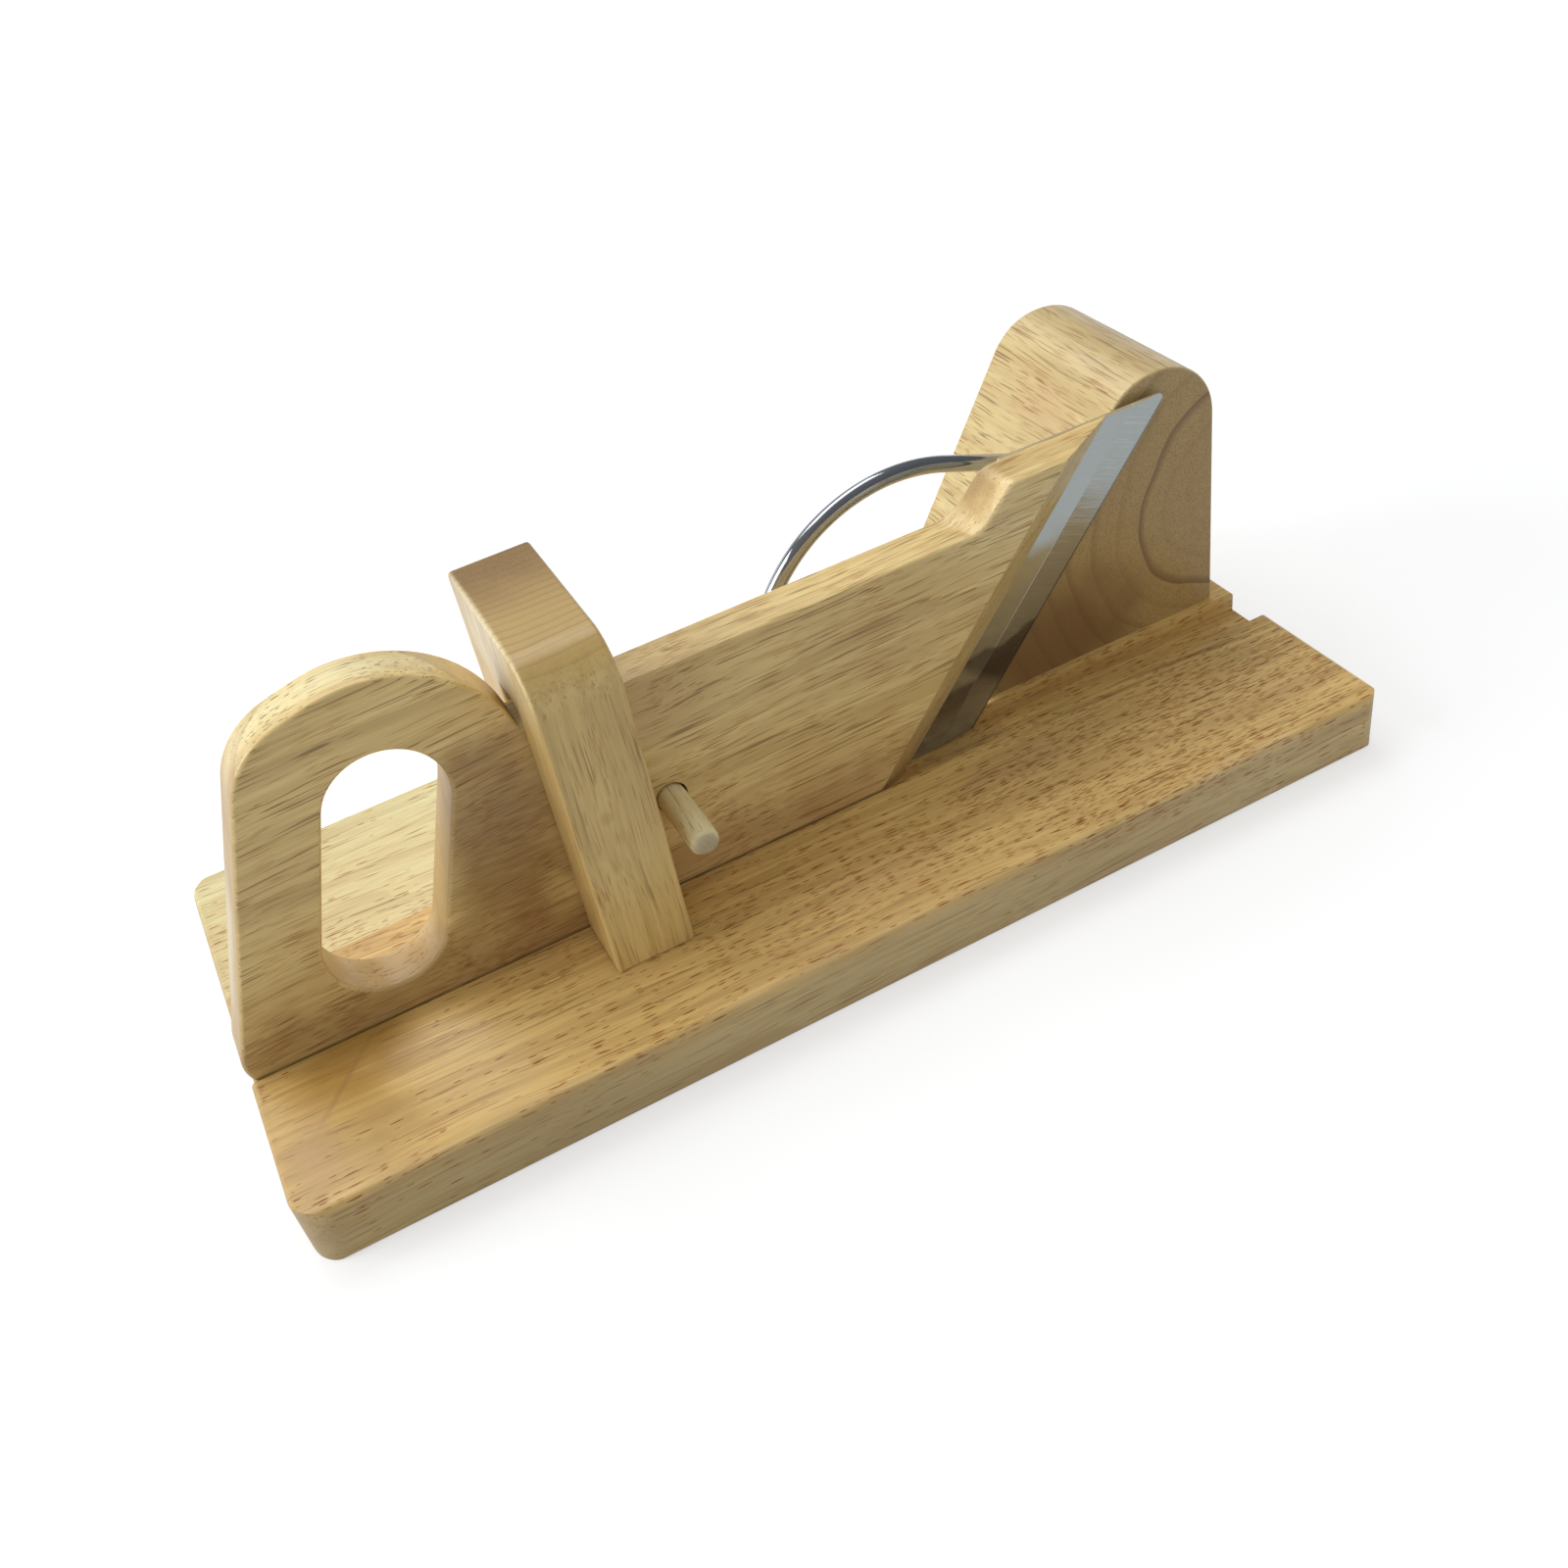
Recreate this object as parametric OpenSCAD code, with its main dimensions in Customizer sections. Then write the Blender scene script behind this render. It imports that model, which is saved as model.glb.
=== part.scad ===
// Sausage slicer with a sliding knife board
//
// A wooden base has a groove along its whole length. The knife board stands in the
// groove and slides along it by its handle. A saddle straddles the board and keeps
// it upright, and a loose peg through the board stands on the saddle's other side.
// A steel blade is screwed to the back of the board's leaning end. It shears past
// the end block, whose leaning left face carries the food under a wire bow.
//
// Frame: X along the base, Y from the front (-) to the back (+), Z up, millimetres.
// The origin is the middle of the base's underside, with the knife closed.

/* [Base board] */
// Length of the base
base_l = 285; // [270:1:310]
// Depth of the base from front to back
base_w = 124; // [116:1:140]
// Thickness of the base
base_t = 17; // [15:0.5:22]
// Radius of the base's upright corners at its left end
base_corner_r = 8; // [4:0.5:12]
// Radius of the base's upright corners at its right end
base_end_r = 5; // [3:0.5:12]
// Rounding along the base's upper and lower edges
base_edge_r = 1.5; // [0.5:0.1:2.5]

/* [Groove] */
// Distance from the base's centre line to the groove's front wall
groove_set = 18; // [16:0.5:20]
// Depth of the groove
groove_depth = 6; // [4:0.5:8]
// Gap on each side of the board and blade in the groove
slide_gap = 0.2; // [0.1:0.05:0.5]

/* [End block] */
// Length of the block along its foot
block_l = 74; // [70:0.5:78]
// Depth of the block from front to back
block_w = 51.5; // [46:0.5:54]
// Height of the block above the base
block_h = 74.5; // [72:0.5:80]
// Lean of the block's left face from upright, in degrees
block_rake = 32; // [30:0.5:34]
// Distance of the block's right face inside the end of the base
block_inset = 6.5; // [4:0.5:10]
// Ledge between the groove and the block's front face
block_ledge = 1.6; // [1:0.1:3]
// Radius of the block's top on the left
block_left_r = 16; // [14:0.5:17]
// Radius of the block's top on the right
block_right_r = 17.5; // [14:0.5:18]

/* [Knife board] */
// Thickness of the board
board_t = 12; // [10:0.5:13]
// Height of the board's level edge above the base
board_h = 61.2; // [59:0.2:63]
// Height of the raised nose above the base
nose_h = 70.6; // [69:0.2:72]
// Length of the nose's level top, at the back of the board
nose_l = 34; // [30:0.5:36]
// Slope of the step from the level edge up to the nose, in degrees
step_slope = 47; // [42:1:52]
// Radius of the bend at the step's top
step_r = 4; // [3:0.5:6]
// Radius of the bend at the step's foot
step_foot_r = 7; // [4:0.5:9]
// Width of the bevel on the board's leaning end, square to the cutting edge
bevel_w = 15.4; // [12:0.2:17]

/* [Handle] */
// Lean of the handle from upright, in degrees
handle_rake = 19.5; // [17:0.5:22]
// Height of the handle above the base
handle_h = 86.9; // [84:0.2:90]
// Radius of the handle's crown, on the saddle's side
crown_r = 32.5; // [31:0.5:34]
// Radius of the handle's outer shoulder
shoulder_r = 20.5; // [18:0.5:23]
// Height of the outer shoulder's centre above the base
shoulder_h = 64.5; // [62:0.5:66]
// Radius of the board's heel, at the foot of the handle
heel_r = 10; // [7:0.5:12]
// Distance of the heel inside the end of the base
heel_inset = 0.3; // [0.2:0.1:1]
// Radius of the hand hole's round ends
grip_r = 13.8; // [12:0.2:14.4]
// Distance between the centres of the hand hole's round ends
grip_l = 35.3; // [32:0.1:38]
// Height of the hand hole's upper centre above the crown's centre
grip_rise = 1.3; // [0:0.1:3]

/* [Blade] */
// Thickness of the blade
blade_t = 1.2; // [1:0.1:1.6]
// Width of the blade from its cutting edge to its back
blade_w = 38; // [36:0.5:39]
// Width of the blade that stands out from the board
blade_show = 14.8; // [13:0.2:16]
// Width of the ground bevel along the cutting edge
grind_w = 8.8; // [6:0.2:10]
// Thickness that the grinding leaves at the cutting edge
edge_t = 0.1; // [0.05:0.01:0.2]
// Lean of the cutting edge from upright, in degrees
edge_rake = 40.2; // [39:0.2:41]
// Distance of the cutting edge from the block's foot when closed, on the base
edge_set = 0.5; // [0:0.1:1.5]
// Distance of the blade's top below the nose's top
blade_drop = 0.6; // [0.2:0.1:0.8]
// Height of the blade's lower end above the groove's floor
blade_lift = 0.4; // [0.2:0.1:1]
// Radius of the blade's upper tip
tip_r = 1.8; // [1:0.1:2.5]

/* [Saddle] */
// Distance of the saddle's left face from the left end of the base
saddle_set = 84; // [82:0.5:88]
// Width of the saddle along the base
saddle_w = 19.6; // [17:0.2:22]
// Height of the saddle
saddle_h = 84; // [82:0.5:86]
// Thickness of the saddle's front leg
saddle_front_t = 18.4; // [15:0.2:20]
// Thickness of the saddle's back leg
saddle_back_t = 21.5; // [18:0.5:24]
// Height of the wood above the saddle's slot
saddle_head = 18; // [16:0.5:19]
// Gap between the saddle's slot and the board
saddle_gap = 0.3; // [0.2:0.05:0.5]
// Gap between the handle's crown and the saddle, on the board's level edge
saddle_play = 0.5; // [0.3:0.1:1]
// Radius of the saddle's front upper bend
saddle_r = 12; // [8:0.5:14]
// Rounding of the saddle's back upper edge
saddle_back_r = 1.5; // [0.5:0.1:3]

/* [Peg] */
// Diameter of the peg
peg_d = 7.2; // [6:0.1:7.6]
// Diameter of the peg's hole
peg_hole_d = 8; // [7.8:0.1:9]
// Length of the peg in front of the board
peg_out = 20; // [16:0.5:24]
// Gap between the saddle and the peg
peg_play = 4.5; // [3:0.1:6]
// Height of the peg's hole above the base
peg_rise = 26.3; // [22:0.2:30]
// Rounding of the peg's ends
peg_end_r = 2.4; // [1:0.1:2.8]
// Distance of the peg's inner end inside the board's back face
peg_sink = 0.7; // [0.3:0.1:2]

/* [Bow] */
// Diameter of the wire
wire_d = 4.4; // [3:0.1:5]
// Radius of the bow, to the middle of the wire
bow_r = 45.2; // [43:0.1:47]
// Height of the bow's centre above the base
bow_rise = 14; // [12:0.5:17]
// Distance of the bow's centre left of the block's foot
bow_set = 6; // [4:0.5:9]
// Fall of the bow's right leg into the block, in degrees
bow_fall = 20; // [15:1:32]
// Depth of the wire in the base
bow_base_depth = 10; // [7:0.5:12]
// Depth of the wire in the block
bow_block_depth = 12; // [8:0.5:14]
// Gap round the wire in its holes
wire_gap = 0.05; // [0.02:0.01:0.1]

/* [Screws] */
// Diameter of the block screws' shanks
block_screw_d = 4; // [3.5:0.1:4.5]
// Diameter of the block screws' heads
block_head_d = 8; // [7:0.1:9]
// Length of the block screws
block_screw_l = 40; // [35:1:42]
// Depth of the block screws' heads below the base's underside
block_head_sink = 0.5; // [0.2:0.1:1]
// Diameter of the blade screws' shanks
blade_screw_d = 3; // [2.6:0.1:3.2]
// Diameter of the blade screws' heads
blade_head_d = 5.6; // [5:0.1:6.2]
// Length of the blade screws
blade_screw_l = 9; // [7:0.5:9.5]
// Distance of the blade screws from the blade's back edge
blade_screw_inset = 7; // [6:0.5:9]
// Gap round the screws in their holes
screw_gap = 0.05; // [0.02:0.01:0.1]
// Width of the slots in the screws' cross recesses
recess_w = 0.9; // [0.7:0.05:1.1]

/* [Hidden] */

$fn = 96;
// Steps of a quarter bend in a drawn outline
bend_steps = 12;
// Overrun of every cut past the face that it opens
over = 1;
// The wire's straight legs are thinner than its bend by this much
leg_step = 0.02;
// Edge of the blocks that trim the leaning ends
trim = base_l;

// Heights of the blade screws, as shares of the level edge's height above the base
blade_screw_shares = [0.25, 0.57, 0.89];
// Places of the block screws, as shares of the block's length from its foot on the left
block_screw_shares = [0.38, 0.8];
// Depth of a screw's cross recess and length of its pointed end, as shares of its diameters
recess_depth_share = 0.3;
recess_span_share = 0.55;
point_share = 1.2;

// Heights
groove_z = base_t - groove_depth;
board_z = base_t + board_h;
nose_z = base_t + nose_h;
crown_z = base_t + handle_h - crown_r;
saddle_z = base_t + saddle_h;
bow_z = base_t + bow_rise;
peg_hole_z = base_t + peg_rise;
// The loose peg lies on the bottom of its hole
peg_z = peg_hole_z - (peg_hole_d - peg_d) / 2 + wire_gap;

// Planes from front to back
groove_front_y = -groove_set;
board_front_y = groove_front_y + slide_gap;
board_back_y = board_front_y + board_t;
blade_back_y = board_back_y + blade_t;
groove_back_y = blade_back_y + slide_gap;
block_front_y = groove_back_y + block_ledge;
block_back_y = block_front_y + block_w;
bow_y = (block_front_y + block_back_y) / 2;
saddle_front_y = board_front_y - saddle_gap - saddle_front_t;
saddle_back_y = board_back_y + saddle_gap + saddle_back_t;

// Places along the base
block_right_x = base_l / 2 - block_inset;
block_foot_x = block_right_x - block_l;
edge_foot_x = block_foot_x - edge_set;
saddle_left_x = -base_l / 2 + saddle_set;
saddle_right_x = saddle_left_x + saddle_w;
peg_x = saddle_right_x + peg_play + peg_d / 2;
bow_x = block_foot_x - bow_set;

// The cutting edge, and the back of the board's leaning end, at a height z
function edge_x(z) = edge_foot_x + tan(edge_rake) * (z - base_t);
function end_x(z) = edge_x(z) - blade_show / cos(edge_rake);

// Handle: the crown's level side meets the board's level edge beside the saddle
crown_foot_a = asin((board_z - crown_z) / crown_r);
crown_x = saddle_left_x - saddle_play - crown_r * cos(crown_foot_a);
crown_c = [crown_x, crown_z];
heel_c = [-base_l / 2 + heel_inset + heel_r, groove_z + heel_r];
// The handle's leaning edge touches the heel and the shoulder
function lean_x(z) = heel_c.x - heel_r / cos(handle_rake) + tan(handle_rake) * (z - heel_c.y);
shoulder_z = base_t + shoulder_h;
shoulder_c = [lean_x(shoulder_z) + shoulder_r / cos(handle_rake), shoulder_z];
// Direction of the line that touches the crown and the shoulder from above
crown_gap = crown_c - shoulder_c;
crown_top_a = atan2(crown_gap.y, crown_gap.x) + acos((shoulder_r - crown_r) / norm(crown_gap));
grip_top_c = [crown_x, crown_z + grip_rise];

// Step from the level edge up to the nose
nose_x = end_x(nose_z) - nose_l;
step_bends = step_r + step_foot_r;
step_line = (nose_z - board_z - step_bends * (1 - cos(step_slope))) / sin(step_slope);
step_run = step_bends * sin(step_slope) + step_line * cos(step_slope);
nose_c = [nose_x, nose_z - step_r];
foot_c = [nose_x - step_run, board_z + step_foot_r];

// End block's bends: each touches the top, and the leaning or the upright face
block_z = base_t + block_h;
block_left_cz = block_z - block_left_r;
block_left_c = [
    block_foot_x + tan(block_rake) * (block_left_cz - base_t) + block_left_r / cos(block_rake),
    block_left_cz
];
block_right_c = [block_right_x - block_right_r, block_z - block_right_r];

// Bow: its right leg runs straight on from the bend and into the leaning face
bow_end_a = 90 - bow_fall;
bow_end = [bow_x + bow_r * cos(bow_end_a), bow_z + bow_r * sin(bow_end_a)];
bow_gap = (block_foot_x - bow_end.x) * cos(block_rake) - (base_t - bow_end.y) * sin(block_rake);
bow_reach = bow_gap / cos(block_rake - bow_fall);

// Points of a bend round c with radius r, from the angle a to the angle b
function bend(c, r, a, b) =
    let (n = ceil(abs(b - a) / 90 * bend_steps))
    [for (i = [0 : n]) let (t = a + (b - a) * i / n) c + r * [cos(t), sin(t)]];

// A flat outline in X and Z, raised to a board that reaches from y_back forwards by t
module upright(y_back, t) {
    translate([0, y_back, 0]) rotate([90, 0, 0]) linear_extrude(t) children();
}

// A flat outline in Y and Z, raised to a block that reaches from x_left rightwards by w
module sideways(x_left, w) {
    translate([x_left, 0, 0]) rotate([90, 0, 90]) linear_extrude(w) children();
}

// A rectangle round the origin with round corners
module soft_rect(l, w, r) {
    square([l - 2 * r, w], center = true);
    square([l, w - 2 * r], center = true);
    for (x = [-1, 1], y = [-1, 1])
        translate([x * (l / 2 - r), y * (w / 2 - r)]) circle(r);
}

// Plan of the base, with its own corner radius at each end
module base_plan() {
    intersection() {
        translate([trim / 2, 0]) soft_rect(base_l + trim, base_w, base_corner_r);
        translate([-trim / 2, 0]) soft_rect(base_l + trim, base_w, base_end_r);
    }
}

// Frame of the cutting edge: Z runs up the edge, X points out of it, Y points back
module at_edge() {
    translate([edge_foot_x, 0, base_t]) rotate([0, edge_rake, 0]) children();
}

// Countersunk wood screw: its head is flush with z = 0 and its point is up at z = l
module wood_screw(d, head_d, l) {
    cone = (head_d - d) / 2;
    recess = recess_depth_share * head_d;
    span = recess_span_share * head_d;
    difference() {
        rotate_extrude()
            polygon([
                [0, 0], [head_d / 2, 0], [d / 2, cone],
                [d / 2, l - point_share * d], [0, l]
            ]);
        for (a = [0, 90])
            rotate([0, 0, a])
                translate([-span / 2, -recess_w / 2, -over])
                    cube([span, recess_w, over + recess]);
    }
}

// The hole for such a screw, opened past z = 0 to the depth given as open
module screw_hole(d, head_d, l, open) {
    cone = (head_d - d) / 2;
    rotate_extrude()
        polygon([
            [0, -open], [head_d / 2 + screw_gap, -open], [head_d / 2 + screw_gap, 0],
            [d / 2 + screw_gap, cone], [d / 2 + screw_gap, l + screw_gap], [0, l + screw_gap]
        ]);
}

// Place of block screw i, its head sunk in the base's underside
module at_block_screw(i) {
    translate([block_foot_x + block_screw_shares[i] * block_l, bow_y, block_head_sink]) children();
}

// Place of blade screw i, its head flush with the blade's back and its point forwards
module at_blade_screw(i) {
    z = base_t + blade_screw_shares[i] * board_h;
    x = edge_x(z) - (blade_w - blade_screw_inset) / cos(edge_rake);
    translate([x, blade_back_y, z]) rotate([90, 0, 0]) children();
}

// Frame of the bow's mirror image, which runs from its left leg round to its right one
module at_bow() {
    translate([bow_x, bow_y, bow_z]) mirror([1, 0, 0]) children();
}

// The bow's left leg, down into the base, with the diameter d and longer by extra
module left_leg(d, extra) {
    h = bow_z - base_t + bow_base_depth + extra;
    at_bow() translate([bow_r, 0, -h]) cylinder(h = h, d = d);
}

// The bow's right leg, down into the block's leaning face
module right_leg(d, extra) {
    h = bow_reach + bow_block_depth + extra;
    at_bow() rotate([0, bow_end_a - 180, 0]) translate([bow_r, 0, 0]) cylinder(h = h, d = d);
}

// Hand hole: a leaning slot with round ends
module grip_hole() {
    translate([grip_top_c.x, 0, grip_top_c.y])
        rotate([0, handle_rake, 0]) {
            for (z = [0, -grip_l])
                translate([0, 0, z])
                    rotate([90, 0, 0])
                        cylinder(h = base_w, r = grip_r, center = true);
            translate([-grip_r, -base_w / 2, -grip_l]) cube([2 * grip_r, base_w, grip_l]);
        }
}

module base_board() {
    color("burlywood")
    difference() {
        intersection() {
            linear_extrude(base_t) base_plan();
            sideways(-base_l / 2, base_l)
                translate([0, base_t / 2]) soft_rect(base_w, base_t, base_edge_r);
            upright(base_w / 2, base_w)
                translate([0, base_t / 2]) soft_rect(base_l, base_t, base_edge_r);
        }
        translate([-base_l / 2 - over, groove_front_y, groove_z])
            cube([base_l + 2 * over, groove_back_y - groove_front_y, groove_depth + over]);
        left_leg(wire_d + 2 * wire_gap, wire_gap);
        for (i = [0, 1])
            at_block_screw(i)
                screw_hole(block_screw_d, block_head_d, block_screw_l, block_head_sink + over);
    }
}

module end_block() {
    color("wheat")
    difference() {
        upright(block_back_y, block_w)
            polygon(concat(
                [[block_foot_x, base_t], [block_right_x, base_t]],
                bend(block_right_c, block_right_r, 0, 90),
                bend(block_left_c, block_left_r, 90, 180 - block_rake)
            ));
        right_leg(wire_d + 2 * wire_gap, wire_gap);
        for (i = [0, 1])
            at_block_screw(i)
                screw_hole(block_screw_d, block_head_d, block_screw_l, block_head_sink + over);
    }
}

module block_screw(i) {
    color("silver") at_block_screw(i) wood_screw(block_screw_d, block_head_d, block_screw_l);
}

module wire_bow() {
    color("gainsboro") {
        at_bow()
            rotate([90, 0, 0])
                rotate_extrude(angle = 180 - bow_end_a)
                    translate([bow_r, 0]) circle(d = wire_d);
        left_leg(wire_d - leg_step, 0);
        right_leg(wire_d - leg_step, 0);
    }
}

module knife_board() {
    color("tan")
    difference() {
        upright(board_back_y, board_t)
            polygon(concat(
                [[end_x(groove_z), groove_z], [end_x(nose_z), nose_z]],
                bend(nose_c, step_r, 90, 90 + step_slope),
                bend(foot_c, step_foot_r, step_slope - 90, -90),
                bend(crown_c, crown_r, crown_foot_a, crown_top_a),
                bend(shoulder_c, shoulder_r, crown_top_a, 180 - handle_rake),
                bend(heel_c, heel_r, 180 - handle_rake, 270)
            ));
        // bevel on the leaning end, so that the wood runs out behind the blade's flat
        at_edge()
            translate([-blade_show, board_back_y, 0])
                rotate([0, 0, -atan(bevel_w / board_t)])
                    translate([0, -trim, -trim]) cube([trim, 2 * trim, 2 * trim]);
        grip_hole();
        translate([peg_x, board_back_y + over, peg_hole_z])
            rotate([90, 0, 0]) cylinder(h = board_t + 2 * over, d = peg_hole_d);
        for (i = [0, 1, 2])
            at_blade_screw(i) screw_hole(blade_screw_d, blade_head_d, blade_screw_l, over);
    }
}

module knife_blade() {
    blade_z = nose_z - blade_drop;
    foot_z = groove_z + blade_lift;
    back_run = blade_w / cos(edge_rake);
    tip_run = tip_r / tan(45 - edge_rake / 2);
    color("lightsteelblue")
    difference() {
        upright(blade_back_y, blade_t)
            polygon(concat(
                [[edge_x(foot_z) - back_run, foot_z], [edge_x(foot_z), foot_z]],
                bend([edge_x(blade_z) - tip_run, blade_z - tip_r], tip_r, -edge_rake, 90),
                [[edge_x(blade_z) - back_run, blade_z]]
            ));
        // one ground bevel on the front, and a flat back that shears past the block
        at_edge()
            translate([-grind_w, board_back_y, 0])
                rotate([0, 0, atan((blade_t - edge_t) / grind_w)])
                    translate([0, -trim, -trim]) cube([trim, trim, 2 * trim]);
        for (i = [0, 1, 2])
            at_blade_screw(i) screw_hole(blade_screw_d, blade_head_d, blade_screw_l, over);
    }
}

module blade_screw(i) {
    color("silver") at_blade_screw(i) wood_screw(blade_screw_d, blade_head_d, blade_screw_l);
}

module guide_saddle() {
    front_c = [saddle_front_y + saddle_r, saddle_z - saddle_r];
    back_c = [saddle_back_y - saddle_back_r, saddle_z - saddle_back_r];
    slot_front_y = board_front_y - saddle_gap;
    slot_w = board_t + 2 * saddle_gap;
    color("burlywood")
    difference() {
        sideways(saddle_left_x, saddle_w)
            polygon(concat(
                [[saddle_front_y, base_t], [saddle_back_y, base_t]],
                bend(back_c, saddle_back_r, 0, 90),
                bend(front_c, saddle_r, 90, 180)
            ));
        translate([saddle_left_x - over, slot_front_y, base_t - over])
            cube([saddle_w + 2 * over, slot_w, saddle_h - saddle_head + over]);
    }
}

module stop_peg() {
    length = board_t - peg_sink + peg_out;
    color("tan")
    translate([peg_x, board_back_y - peg_sink, peg_z])
        rotate([90, 0, 0])
            rotate_extrude()
                polygon(concat(
                    [[0, 0]],
                    bend([peg_d / 2 - peg_end_r, peg_end_r], peg_end_r, -90, 0),
                    bend([peg_d / 2 - peg_end_r, length - peg_end_r], peg_end_r, 0, 90),
                    [[0, length]]
                ));
}

base_board();
end_block();
block_screw(0);  // block_screw_left
block_screw(1);  // block_screw_right
wire_bow();
knife_board();
knife_blade();
blade_screw(0);  // blade_screw_low
blade_screw(1);  // blade_screw_middle
blade_screw(2);  // blade_screw_high
guide_saddle();
stop_peg();
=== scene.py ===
"""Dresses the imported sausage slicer: lacquered wooden boards with eased edges, a ground blade and a chrome bow.

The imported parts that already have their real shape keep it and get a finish. The end block, the knife board, the
saddle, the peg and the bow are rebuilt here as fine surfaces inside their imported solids, with the softened edges that
sanding leaves.

Lengths are in millimetres and angles in degrees until a mesh is written, which is in metres. X runs along the base to
the right, Y from the front to the back, and Z up.
"""

from __future__ import annotations

import logging
import math
from dataclasses import dataclass, replace
from enum import Enum
from typing import Mapping, Sequence

import bpy
import bmesh
import numpy as np
from mathutils import Euler, Matrix, Vector
from mathutils.geometry import tessellate_polygon

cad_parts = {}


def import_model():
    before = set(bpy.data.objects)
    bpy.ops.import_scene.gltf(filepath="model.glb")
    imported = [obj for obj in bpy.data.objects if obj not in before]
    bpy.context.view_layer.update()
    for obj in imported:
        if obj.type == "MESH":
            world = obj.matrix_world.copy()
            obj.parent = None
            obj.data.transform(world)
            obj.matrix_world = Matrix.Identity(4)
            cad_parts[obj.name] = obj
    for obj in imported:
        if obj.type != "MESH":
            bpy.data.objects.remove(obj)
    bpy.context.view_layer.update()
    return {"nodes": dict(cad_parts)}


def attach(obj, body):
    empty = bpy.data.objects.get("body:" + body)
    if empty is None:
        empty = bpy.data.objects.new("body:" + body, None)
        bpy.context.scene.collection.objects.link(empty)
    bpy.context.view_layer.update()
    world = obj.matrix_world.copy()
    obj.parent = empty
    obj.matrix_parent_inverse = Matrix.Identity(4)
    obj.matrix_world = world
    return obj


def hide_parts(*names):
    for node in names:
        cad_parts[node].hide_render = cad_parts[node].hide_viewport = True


LOG = logging.getLogger("slicer")
MM = 0.001
Triple = tuple[float, float, float]
Colour = Triple


# Outlines


def arc(centre: Sequence[float], radius: float, start: float, end: float, steps: int) -> np.ndarray:
    """Points on a circle, centre + radius * (cos t, sin t), for t from start to end in degrees.

    Args:
        centre: The circle's centre.
        radius: Its radius.
        start: The first angle.
        end: The last angle.
        steps: How many stretches the bend has.

    Returns:
        An array of steps + 1 points.
    """
    t = np.radians(np.linspace(start, end, steps + 1))
    return np.asarray(centre, float) + radius * np.stack([np.cos(t), np.sin(t)], axis=1)


def rounded(corners: Sequence[tuple[float, float, float]], steps: int = 6) -> np.ndarray:
    """A closed outline through corners, each rounded with its own radius.

    Each corner's bend is centred on the line that halves the corner, at radius / sin(half the angle) from it, and
    turns evenly from where it touches one side to where it touches the other.

    Args:
        corners: For each corner its two coordinates and its radius, anticlockwise.
        steps: How many stretches each bend has.

    Returns:
        An array of (steps + 1) points for each corner.
    """
    data = np.asarray(corners, float)
    spot, radius = data[:, :2], data[:, 2:3]
    back = np.roll(spot, 1, axis=0) - spot
    ahead = np.roll(spot, -1, axis=0) - spot
    back /= np.linalg.norm(back, axis=1, keepdims=True)
    ahead /= np.linalg.norm(ahead, axis=1, keepdims=True)
    half = np.arccos(np.clip((back * ahead).sum(1, keepdims=True), -1, 1)) / 2
    middle = back + ahead
    middle /= np.linalg.norm(middle, axis=1, keepdims=True)
    centre = spot + middle * radius / np.sin(half)
    reach = radius / np.tan(half)
    first = spot + back * reach - centre
    last = spot + ahead * reach - centre
    sweep = (math.pi - 2 * half)[:, None]
    t = np.linspace(0, 1, steps + 1)[None, :, None]
    bend = (np.sin((1 - t) * sweep) * first[:, None] + np.sin(t * sweep) * last[:, None]) / np.sin(sweep)
    return (centre[:, None] + bend).reshape(-1, 2)


def inward(loop: np.ndarray) -> np.ndarray:
    """For each point of an anticlockwise loop, the step that moves both its edges inwards by one.

    It is (n1 + n2) / (1 + n1 . n2), from the left normals n1 and n2 of the edges that meet there.
    """
    edge = np.roll(loop, -1, axis=0) - loop
    edge /= np.linalg.norm(edge, axis=1, keepdims=True)
    normal = np.stack([-edge[:, 1], edge[:, 0]], axis=1)
    before = np.roll(normal, 1, axis=0)
    return (before + normal) / (1 + (before * normal).sum(1, keepdims=True))


@dataclass
class Rim:
    """One closed outline of a board, as it is on the board's near face and on its far face.

    The outline runs anticlockwise round the board and clockwise round a hole. ease is the rounding of its edges.
    """

    near: np.ndarray
    far: np.ndarray
    ease: np.ndarray | float = 0.8

    def rings(self, low: float, high: float, steps: int) -> np.ndarray:
        """The board's side, as rings of points from the near face to the far one.

        Each edge is a quarter round: for an angle t from 0 to 90 degrees the outline moves in by ease * (1 - sin t)
        and lies ease * (1 - cos t) under the face. Between the two edges the outline goes straight from its near
        form to its far one.

        Args:
            low: Depth of the near face.
            high: Depth of the far face.
            steps: How many stretches each quarter round has.

        Returns:
            An array of rings by points by three coordinates, the third one being the depth.
        """
        ease = np.broadcast_to(np.asarray(self.ease, float), (len(self.near),))[None, :]
        t = np.linspace(0, math.pi / 2, steps + 1)[:, None]
        under, inset = ease * (1 - np.cos(t)), ease * (1 - np.sin(t))
        depth = np.concatenate([low + under, (high - under)[::-1]])
        inset = np.concatenate([inset, inset[::-1]])[..., None]
        share = ((depth - low) / (high - low))[..., None]
        flat = (1 - share) * self.near + share * self.far
        step = (1 - share) * inward(self.near) + share * inward(self.far)
        return np.concatenate([flat + inset * step, depth[..., None]], axis=2)


# Meshes


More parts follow.
